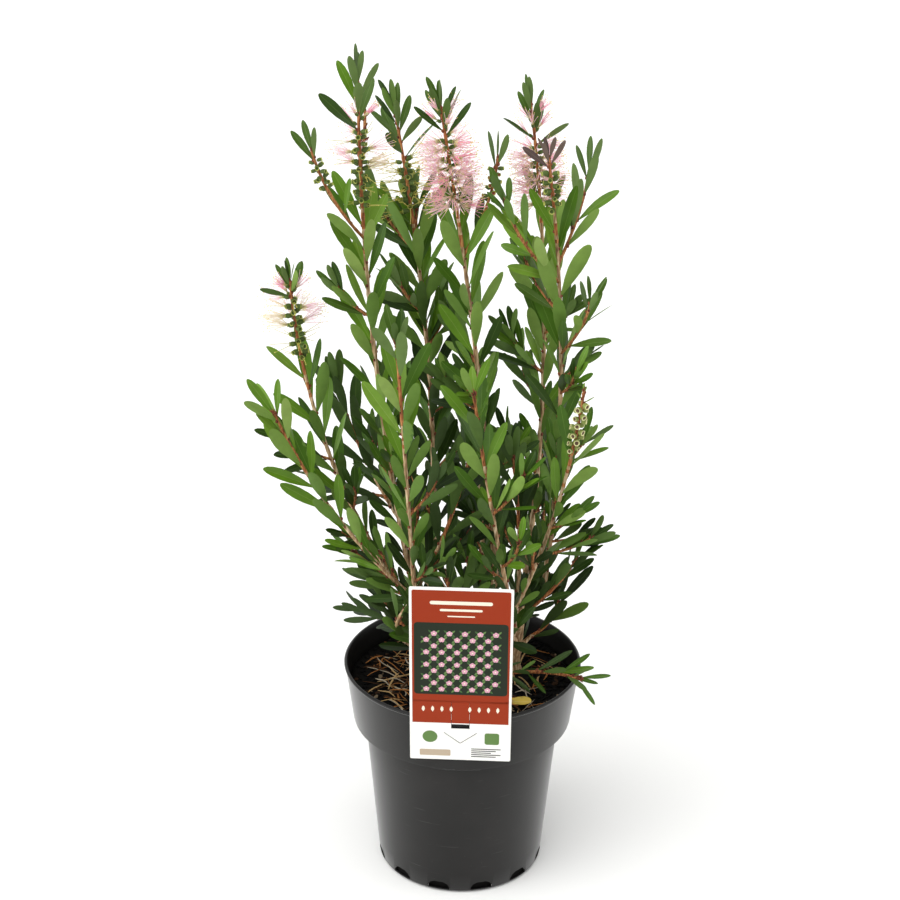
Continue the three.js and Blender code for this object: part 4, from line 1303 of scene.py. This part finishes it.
def blade_half_width(share):
    """Half the width of a blade, as a share of its widest: a stalk, a taper, and a round tip."""
    if share < LEAF_WIDEST:
        return 0.09 + 0.91 * math.sin(math.pi / 2 * share / LEAF_WIDEST) ** 1.2
    return math.sqrt(max(0, 1 - ((share - LEAF_WIDEST) / (1 - LEAF_WIDEST)) ** 2))


class Leaf:
    def __init__(self, limb, distance, turn, tilt, roll, length):
        point, along, side, front = limb.at(distance)
        outward = swing(side, front, turn)
        self.direction = swing(along, outward, tilt)
        level = along.cross(outward)
        self.across = swing(level, self.direction.cross(level), roll)
        self.normal = self.direction.cross(self.across)
        self.axil = point + outward * limb.radius(distance)
        self.root = point + outward * limb.radius(distance) * ROOT_DEPTH
        self.length, self.half = length, length * LEAF_WIDTH_RATIO / 2
        self.bend = self.sweep = self.twist = 0

    def midrib(self, share):
        curve = self.normal * self.bend + self.across * self.sweep
        return self.root + self.length * (self.direction * share + curve * share**2)

    def is_clear(self, owner, clearance=LEAF_CLEARANCE, near_root=NEAR_ROOT):
        for share in CLEAR_STATIONS:
            middle = self.midrib(share)
            half = self.across * self.half * blade_half_width(share)
            for point in (middle - half, middle, middle + half):
                if not is_open(point) or room.is_taken(point, owner, clearance, share < near_root):
                    return False
        return True

    def take(self, owner):
        for share in CLEAR_STATIONS[1::2]:
            middle = self.midrib(share)
            half = self.across * self.half * blade_half_width(share) * LEAF_BALL
            for point in (middle - half, middle + half):
                room.take(point, LEAF_BALL, owner)


leaves = []  # of the whole shrub: the leaf and its tone


def grow_leaf(limb, plant, place, turn, tilt, length, space=()):
    """Grows a leaf, turned aside if something is in its way. Returns it, or None."""
    draw = plant.fine
    rolls = [math.radians(draw(-ROLL_SWAY, ROLL_SWAY)) for _ in range(3)]
    for change in SECOND_TRIES:
        aside = math.radians(turn + change)
        tries = [Leaf(limb, place, aside, math.radians(tilt), roll, length) for roll in rolls]
        for one in tries:
            one.half *= SLIMNESS.get(plant.name, 1)
        # Blades turn their faces to the light, so of three the most open one is taken.
        leaf = max(tries, key=lambda one: abs(one.normal.dot(TOWARDS_LIGHT)))
        leaf.bend, leaf.sweep = draw(*BEND_SWAY), draw(*SWEEP_SWAY)
        leaf.twist = math.radians(draw(-TWIST_SWAY, TWIST_SWAY))
        if leaf.is_clear(plant.name, *space):
            leaf.take(plant.name)
            return leaf
    return None


def leaf_tone(leaf, draw, spray_tone, to_tip):
    """Darker low down, as painted shade, and grey-green where a high shoot is young."""
    if leaf.root.z > YOUNG_TONE_Z and to_tip < draw(0, 2) * YOUNG_TONE_REACH:
        return YOUNG if draw() < YOUNG_TONE_SHARE else DEEP
    low = 1 - min(1, max(0, (leaf.root.z - LOW_Z) / LOW_SPAN))
    tone = round(HIGH_TONE + LOW_PAINTED_SHADE * low + spray_tone + draw(-TONE_SWAY, TONE_SWAY))
    return min(SHADE, max(0, tone))


def leaves_along(limb, plant, first, spacing, size, bare=(0, 0), foot_size=1.0, lean=0, light=0):
    """Leaves from one distance to the tip, but for a spike's bare reach and what is above it."""
    draw = plant.fine
    # The spray's tone strays at random, and its light lifts it: painted light.
    spray_tone = draw(-TONE_SWAY, TONE_SWAY) - light
    distance, turn_count = first, 0
    while distance < limb.length - (bare[1] if bare[0] else 0):
        place, to_tip = distance, limb.length - distance
        distance += TUFT_SPACING if to_tip < TUFT_LENGTH else spacing * draw(*SPACING_SWAY)
        grown = lerp(YOUNG_SIZE, 1, min(1, to_tip / YOUNG_REACH))
        grown *= lerp(foot_size, 1, min(1, place / limb.length / FOOT_REACH))
        length = size * grown * draw(*SIZE_SWAY)
        tilt = lerp(TIP_TILT, LOW_TILT, min(1, to_tip / LOW_TILT_REACH)) + draw(*TILT_SWAY) + lean
        turn = turn_count * LEAF_TURN + draw(-TURN_SWAY, TURN_SWAY)
        turn_count += 1
        under_spike = bare[0] and to_tip < bare[1] + UNDER_SPIKE
        if under_spike:
            length *= UNDER_SPIKE_SIZE
            tilt += UNDER_SPIKE_TILT
        leaf = grow_leaf(limb, plant, place, turn, tilt, length)
        # A leaf that would stand before the spike is left out.
        if leaf and not (under_spike and leaf.direction.y < UNDER_SPIKE_FRONT):
            leaves.append((leaf, leaf_tone(leaf, draw, spray_tone, to_tip)))


def crown_over_spike(plant, reach, count, lengths, bronze=False):
    """The tuft of small leaves that a flowering shoot carries over its spike."""
    draw = plant.fine
    for i in range(count):
        share = (i / (count - 1)) ** CROWN_CROWDING
        to_tip = lerp(0.5, reach - 1, share)
        turn = i * LEAF_TURN + draw(-TURN_SWAY, TURN_SWAY)
        tilt = lerp(*CROWN_TILT, share) + draw(*TILT_SWAY)
        length = lerp(*lengths, share) * draw(*CROWN_SIZE_SWAY)
        place = plant.shoot.length - to_tip
        leaf = grow_leaf(plant.shoot, plant, place, turn, tilt, length, CROWN_SPACE)
        if leaf:
            leaves.append((leaf, BRONZE if bronze else leaf_tone(leaf, draw, 0, 10)))


CROWNS = {  # how many leaves stand over the spike, and their lengths at the tip and at the spike
    "left_flower": (9, (19, 29)),
    "tall_left": (9, (26, 44)),
    "tall_back": (13, (25, 40)),
    "tall_middle": (10, (24, 34)),
    "right_back": (10, (22, 33)),
    "right_tall": (6, (18, 25)),
    "right_front": (5, (7, 11)),
}
# The last number is painted light: it lifts the tone of a spray's leaves, and below nothing it darkens
# them as painted shade.
SPRAYS = {  # where a shoot differs: its leaves' size and spacing, how far they lean out, how light
    "rim_right": (0.8, 1.15, 10, 2.4),
    "left_skirt": (0.9, 1, 0, 0.2),
    "left_low": (1, 1, 0, 0.9),
    "left_flower": (1, 1, 0, 0.6),
    "left_inner": (1, 1, 0, 0.2),
    "front_middle": (1, 1, 0, 0.2),
    "tall_left": (1, 1, 0, 0.3),
    "tall_middle": (1, 0.85, 0, 0.1),
    "tall_back": (1.05, 0.75, 0, 0.5),
    "right_back": (1, 0.95, 0, 0.4),
    "right_tall": (1, 1.35, -3, 0),
    "right_front": (1, 1, 0, 1.5),
    "right_low": (0.9, 1.1, 0, 1.6),
    "right_skirt": (1.45, 1.1, 6, 1.5),
    "back_middle": (1, 0.85, 0, 0),
    "back_left": (1, 1.35, 0, -0.3),
}
CUP_TWIG_CROWN, CUP_TWIG_SPACING, CUP_TWIG_BARE = 9, 2, 62
BOUGH_START, BOUGH_LEAF_SPACING, BOUGH_LEAF_LENGTH = 0.45, LEAF_SPACING * 1.3, LEAF_LENGTH * 0.85

for plant in plants:
    share, apart, lean, light = SPRAYS.get(plant.name, (1, 1, 0, 0))
    size = LEAF_LENGTH * share
    pitch = LEAF_SPACING * apart
    bare = plant.bloom[:2] if plant.bloom else (0, 0)
    leaves_along(plant.shoot, plant, FIRST_LEAF, pitch, size, bare, FOOT_SIZE, lean, light)
    if plant.bloom:
        crown_over_spike(plant, bare[0], *CROWNS[plant.name], plant.name == "right_tall")
    for twig in plant.twigs:
        if twig in plant.bud_twigs:
            continue
        twig_size = size * TWIG_LEAF_SHARE
        first, pitch = FIRST_TWIG_LEAF, TWIG_LEAF_SPACING
        if twig in plant.cup_twigs:
            # Over its cups the twig has a tuft, and at its foot one leaf.
            leaves_along(twig, plant, twig.length - CUP_TWIG_CROWN, CUP_TWIG_SPACING, twig_size)
            leaves_along(twig, plant, first, pitch, twig_size, (1, CUP_TWIG_BARE))
        else:
            leaves_along(twig, plant, first, pitch * apart, twig_size, light=light)
for plant in plants:
    first = plant.bough.length * BOUGH_START
    leaves_along(plant.bough, plant, first, BOUGH_LEAF_SPACING, BOUGH_LEAF_LENGTH)
print("leaves:", len(leaves))

# %% Blades
BLADE_STATIONS = (0, 0.05, 0.16, 0.32, 0.5, 0.68, 0.83, 0.93, 0.985, 1)
BLADE_THICKNESS = 0.4
STALK_HALF, POINT_HALF, RIB_HALF = 0.45, 0.2, 0.16
FOLD, FOLD_SEED = (0.05, 0.3), 500
UPPER, RIB, UNDER = range(3)
SIDE_SKINS = [UNDER, UPPER, UPPER, RIB, UPPER, UPPER, UNDER]


def blade(shape, leaf, fold):
    """One closed leaf. fold lifts its margins into a shallow trough."""
    rings = []
    for share in BLADE_STATIONS:
        middle = leaf.midrib(share)
        angle = leaf.twist * share
        across = swing(leaf.across, leaf.normal, angle)
        normal = swing(leaf.normal, -leaf.across, angle)
        half = max(STALK_HALF, leaf.half * blade_half_width(share)) if share < 1 else POINT_HALF
        rib = min(RIB_HALF, half * 0.3)
        thick = BLADE_THICKNESS * (1.6 if share < 0.1 else 1) * (1 if share < 0.9 else 0.6)
        lift = half * fold
        inner, crown = half * 0.55, lift * 0.42 + thick * 0.4
        corners = [(-half, lift), (-inner, crown), (-rib, thick * 0.5)]
        corners += [(rib, thick * 0.5), (inner, crown), (half, lift), (0, -thick * 0.6)]
        # Seen from the tip the corners run the other way round, hence the order.
        rings.append([middle + across * u + normal * w for u, w in reversed(corners)])
    first = len(shape.faces)
    shape.skin(rings)
    for face in range(first, len(shape.faces) - 2):
        shape.finishes[face] = SIDE_SKINS[(face - first) % len(SIDE_SKINS)]


def grow_leaves():
    random = seeded(FOLD_SEED)
    for tone, (name, (upper, under)) in enumerate(LEAF_TONES.items()):
        shape = Shape()
        for leaf, its_tone in leaves:
            fold = random(*FOLD)
            if its_tone == tone:
                blade(shape, leaf, fold)
        skins = [
            leathery(f"leaf_{name}_upper", upper, 0.42),
            leathery(f"leaf_{name}_midrib", under, 0.5),
            leathery(f"leaf_{name}_under", under, 0.6),
        ]
        names = ["shoot_" + plant.name for plant in plants] if tone == 0 else ()
        finish_piece(new_mesh(f"leaves_{name}", shape, skins), names, crease=75)


grow_leaves()

# %% [markdown]
# ## Buds and leaf scars
#
# In the angle over each leaf sits a bud the size of a pinhead, red-brown and scaly, and each tip
# ends in a bigger one. They are small, but there are over a thousand, and they give the twigs their
# knotty outline.

# %% Buds
BUD_PROFILE = [(-0.5, 0.2), (-0.1, 0.75), (0.6, 0.8), (1.3, 0.45), (1.8, 0.1)]
BUD_SEED, BUD_SIZE, BUD_SIDES = 600, (0.9, 1.7), 5
TIP_BUD = (2.4, 1.5)  # length and thickness
TIP_SCALES, SCALE_PITCH, SCALE_LEAN, SCALE_LENGTH, SCALE_THICK = 6, 0.7, (0.3, 0.6), (1.6, 2.6), 1.2
TWIG_BUD, BUD_TWIG_BARE, BUD_TWIG_PITCH = (2.6, 1.6), 12, 4


def bud(shape, base, axis, length, thick):
    sized = [(d * length, r * thick) for d, r in BUD_PROFILE]
    turned_form(shape, base, axis, sized, BUD_SIDES)


def grow_buds():
    shape = Shape()
    random = seeded(BUD_SEED)
    for leaf, _ in leaves:
        size = random(*BUD_SIZE)
        bud(shape, leaf.axil, (leaf.direction + 0.6 * UP).normalized(), size, size)
    for plant in plants:
        for limb in [plant.shoot, *plant.twigs]:
            point, along, side, front = limb.at(limb.length)
            bud(shape, point - along, along, *TIP_BUD)
            # The big bud of a tip without a spike is a cone of loose scales.
            for k in range(0 if plant.bloom else TIP_SCALES):
                outward = swing(side, front, math.radians(k * LEAF_TURN))
                axis = (along + outward * random(*SCALE_LEAN)).normalized()
                base = point + outward * 0.8 - along * k * SCALE_PITCH
                bud(shape, base, axis, random(*SCALE_LENGTH), SCALE_THICK)
        for twig in plant.bud_twigs:
            for k, place in enumerate(np.arange(BUD_TWIG_BARE, twig.length, BUD_TWIG_PITCH)):
                point, along, side, front = twig.at(place)
                outward = swing(side, front, math.radians(k * LEAF_TURN))
                bud(shape, point + outward, (outward + along).normalized(), *TWIG_BUD)
    scales = bark("bud_scales", "#6A3422", "#3E1D14", "#9A5A38", 1)
    finish_piece(new_mesh("buds", shape, [scales]))


grow_buds()

# %% [markdown]
# ## Flower spikes and seed cups
#
# A bottlebrush has no petals to speak of. What shows is the stamens: each small flower is a green
# cup, and from its rim stand two dozen thin filaments, each ending in a grain of yellow pollen. The
# flowers sit round the shoot in a spiral, and the shoot grows on through them and carries leaves
# above. When the stamens have dropped, the woody cups stay.
#
# Here each filament is a three-sided rod half a millimetre thick, in three lengths: cream at
# its root and pink above it. The cups are turned forms with a hollow mouth. The kinds of spike are
# the stages of one flowering: full, fading from below, cups with a few styles left, bare cups, and
# young seed capsules.

# %% Blossom tones
def soft(name, colour, roughness=0.6, glow=0.0):
    """Petal and stamen tissue: matt, with a fine cloudy variation. glow lets light through it."""
    tissue = {"Roughness": roughness, "IOR": 1.4}
    tissue |= {"Subsurface Weight": glow, "Subsurface Radius": (4, 2, 2), "Subsurface Scale": MM}
    return mottled(name, colour, (5, 2), 0.12, **tissue)


FILAMENT_ROOT, FILAMENT_PINK, FILAMENT_ROSE, FILAMENT_CREAM, STYLE_GREEN = range(5)
FILAMENT_TONES = {
    "filament_root_cream": "#F6E2A8",
    "filament_pink": "#FFC6D2",
    "filament_rose": "#FF9DB6",
    "filament_cream": "#F8E2BC",
    "style_yellow_green": "#ADA640",
}
CUP_TONES = {
    "cup_olive": "#4D6126",
    "cup_rim_yellow_green": "#A9AE55",
    "capsule_green": "#87924C",
    "capsule_rim_cream": "#D2D096",
    # Brown inside the capsule's mouth, and darker than that as painted shade in the opening.
    "capsule_mouth_brown_shaded": "#5B4630",
    "cup_tip_red": "#8E4A38",
}
CUP_OLIVE, CUP_RIM, CAPSULE_GREEN, CAPSULE_RIM, CAPSULE_MOUTH_SHADED, CUP_RED = range(6)
PINK_TONES = [FILAMENT_ROOT, FILAMENT_PINK, FILAMENT_PINK]
ROSE_TONES = [FILAMENT_ROOT, FILAMENT_ROSE, FILAMENT_ROSE]
PALE_TONES = [FILAMENT_ROOT, FILAMENT_CREAM, FILAMENT_CREAM]
STYLE_TONES = [STYLE_GREEN] * 3

# %% One flower
CUP = [(0, 0.9), (1, 1.8), (3.2, 2.1), (4.7, 1.6), (5.4, 2.0), (4.8, 1.5), (3.8, 0.6)]
CAPSULE = [(0, 1.2), (0.8, 2.4), (2.6, 2.9), (4.2, 2.5), (4.8, 2.6), (4.4, 1.8), (3.6, 0.9)]
CUP_SIDES = 7
FILAMENT_RADIUS, STYLE_RADIUS, FILAMENT_BEND = 0.24, 0.34, 0.16
ANTHER = [(-0.1, 0.14), (0.3, 0.4), (0.8, 0.12)]
STAMEN_FOOT = 3.5  # above the foot of the cup
STAMENS = {  # how many a flower has, their lengths, and between which angles they open
    "full": (26, (14, 22), (3, 44)),
    "fading": (22, (15, 24), (3, 34)),
    "shed": (2, (11, 20), (0, 30)),
    "styles": (4, (15, 26), (0, 30)),
    "tier": (18, (11, 17), (2, 24)),
}

filaments, anthers, cups = Shape(), Shape(), Shape()
bloom_random = seeded(700)


def cone_direction(axis, low, high):
    """A random direction between two angles from an axis."""
    side, front = frame_round(axis)
    open_angle = math.radians(bloom_random(low, high))
    sideways = swing(side, front, bloom_random(0, 2 * math.pi))
    return swing(axis, sideways, open_angle).normalized()


def filament(start, way, length, tones):
    side, front = frame_round(way)
    thick = STYLE_RADIUS if tones == STYLE_TONES else FILAMENT_RADIUS
    aside = bloom_random(-FILAMENT_BEND, FILAMENT_BEND)
    ahead = bloom_random(-FILAMENT_BEND, FILAMENT_BEND)
    bend = (side * aside + front * ahead) * length
    rings = []
    for i in range(4):
        share = i / 3
        centre = start + way * length * share + bend * share * share
        rings.append(ring_round(centre, side, front, thick * (1 - 0.35 * share), 3))
    filaments.skin(rings, tones)
    tip = start + way * length + bend
    turned_form(anthers, tip, (way + bend / length).normalized(), ANTHER, 4)


def cup(base, axis, size, profile=CUP, body=CUP_OLIVE, rim=CUP_RIM, heart=CUP_OLIVE):
    sized = [(d * size, r * size) for d, r in profile]
    # The heart is the inside of the mouth. By default it takes the dark body olive, not the rim's tone,
    # as painted shade in the hollow.
    turned_form(cups, base, axis, sized, CUP_SIDES, [body, body, body, rim, rim, heart])


def flowers_round(limb, from_top, to_top, pitch):
    """Bases and outward axes of flowers in a spiral, between two reaches below the limb's tip."""
    turn = bloom_random(0, 360)
    for reach in np.arange(from_top, to_top, pitch):
        turn += LEAF_TURN + bloom_random(-9, 9)
        distance = limb.length - reach
        point, along, side, front = limb.at(distance)
        outward = swing(side, front, math.radians(turn))
        axis = swing(outward, along, math.radians(bloom_random(-4, 14))).normalized()
        yield point + outward * (limb.radius(distance) + 0.4), axis, reach


def bloom(base, axis, kind, tones):
    """The stamens of one flower."""
    count, reach, spread = STAMENS[kind]
    foot = base + axis * STAMEN_FOOT
    for _ in range(count):
        filament(foot, cone_direction(axis, *spread), bloom_random(*reach), tones)


# %% The spikes
CUP_PITCH, STAMEN_PITCH, TIER_PITCH = 1.9, 1.85, 4
SHED_FRONT, STILL_OPEN, STYLE_LEFT = -0.45, 0.88, 0.5
STYLE_SHARE = 0.9
ROSE_SHARE, PALE_SHARE, TIER_ROSE_SHARE = 0.2, 0.6, 0.6  # the flowers of a paler or deeper tone
CUP_SIZES, OPEN_CUP, YOUNG_CUP, SMALL_CUPS = (0.9, 1.15), 0.9, 0.7, 0.85
TIER_LEAN = 0.8
CUP_TWIG_SPIKE = (9, 36)
TIERS = {  # narrow fans of younger stamens above the spike: start and end below the tip
    "left_flower": (5, 17),
    "tall_left": (28, 40),
    "tall_middle": (5, 24),
    "right_back": (12, 30),
}


def full_spike(shoot, start, end):
    for base, axis, _ in flowers_round(shoot, start, end, STAMEN_PITCH):
        cup(base, axis, OPEN_CUP)
        bloom(base, axis, "full", ROSE_TONES if bloom_random() < ROSE_SHARE else PINK_TONES)


def fading_spike(shoot, start, end):
    change = lerp(start, end, 0.5)
    for base, axis, reach in flowers_round(shoot, start, end, CUP_PITCH):
        cup(base, axis, bloom_random(*CUP_SIZES))
        # The foot and the front of the spike have shed their stamens first.
        if reach < change and axis.y > SHED_FRONT and bloom_random() < STILL_OPEN:
            bloom(base, axis, "fading", PALE_TONES if bloom_random() < PALE_SHARE else PINK_TONES)
        elif bloom_random() < STYLE_LEFT:
            bloom(base, axis, "shed", STYLE_TONES)


def cup_spike(limb, start, end, colours=(), profile=CUP, styles=False, size=1.0):
    for base, axis, _ in flowers_round(limb, start, end, CUP_PITCH):
        cup(base, axis, size * bloom_random(*CUP_SIZES), profile, *colours)
        if styles and bloom_random() < STYLE_SHARE:
            bloom(base, axis, "styles", STYLE_TONES)


def tier_fans(shoot, start, end):
    """Young stamens in a few narrow upright fans."""
    along = shoot.at(shoot.length - start)[1]
    for base, axis, _ in flowers_round(shoot, start, end, TIER_PITCH):
        up = (axis + along * TIER_LEAN).normalized()
        cup(base, up, YOUNG_CUP)
        bloom(base, up, "tier", ROSE_TONES if bloom_random() < TIER_ROSE_SHARE else PINK_TONES)


for plant in plants:
    if plant.bloom:
        start, end, kind = plant.bloom
        if kind == "full":
            full_spike(plant.shoot, start, end)
        elif kind == "fading":
            fading_spike(plant.shoot, start, end)
        elif kind == "capsules":
            colours = (CAPSULE_GREEN, CAPSULE_RIM, CAPSULE_MOUTH_SHADED)
            cup_spike(plant.shoot, start, end, colours, CAPSULE, size=SMALL_CUPS)
        else:
            cup_spike(plant.shoot, start, end, styles=kind == "styles")
    if plant.name in TIERS:
        tier_fans(plant.shoot, *TIERS[plant.name])
    for twig in plant.cup_twigs:
        colours = (CUP_OLIVE, CUP_RIM, CUP_RED) if plant.name == "tall_middle" else ()
        cup_spike(twig, *CUP_TWIG_SPIKE, colours, size=SMALL_CUPS)

filament_skins = [soft(*tone, glow=0.3) for tone in FILAMENT_TONES.items()]
finish_piece(new_mesh("filaments", filaments, filament_skins))
finish_piece(new_mesh("anthers", anthers, [soft("anther_pollen", "#E4D274", 0.8)]))
cup_skins = [soft(*tone) for tone in CUP_TONES.items()]
finish_piece(new_mesh("seed_cups", cups, cup_skins), crease=50)

# %% [markdown]
# ## One fallen leaf
#
# A leaf that has yellowed and dropped lies on the mix, where the crown is open.

# %% The fallen leaf
FALLEN_PLACE, FALLEN_LENGTH, FALLEN_HALF = (35, -43), 24, 6
FALLEN_TONES = {"upper": "#CBB04E", "midrib": "#D9C98A", "under": "#B99D4A"}


def fallen_leaf():
    # Any limb will do to make it, because its place and directions are set here.
    lying = Leaf(plants[0].shoot, 0, 0, 0, 0, FALLEN_LENGTH)
    x, y = FALLEN_PLACE
    lying.direction = Vector((1, -0.3, 0.05)).normalized()
    lying.across = UP.cross(lying.direction).normalized()
    lying.normal = lying.direction.cross(lying.across)
    lying.root = Vector((x, y, mix_height(x, y) + 2.6))
    lying.half, lying.bend, lying.sweep, lying.twist = FALLEN_HALF, 0.06, 0.06, 0.2
    shape = Shape()
    blade(shape, lying, 0.25)
    skins = [leathery("leaf_fallen_" + side, colour, 0.6) for side, colour in FALLEN_TONES.items()]
    finish_piece(new_mesh("fallen_leaf", shape, skins), crease=75)


fallen_leaf()

# %% [markdown]
# ## The size
#
# The dressed plant should fill the box of its model and not much more, so both boxes are printed.

# %% Sizes
visual_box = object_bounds()
boxes = {"cad": [list(p) for p in cad_box], "visual": [list(p) for p in visual_box]}
for name, (low, high) in boxes.items():
    print(name, [round(c * 1000, 1) for c in low], [round(c * 1000, 1) for c in high])
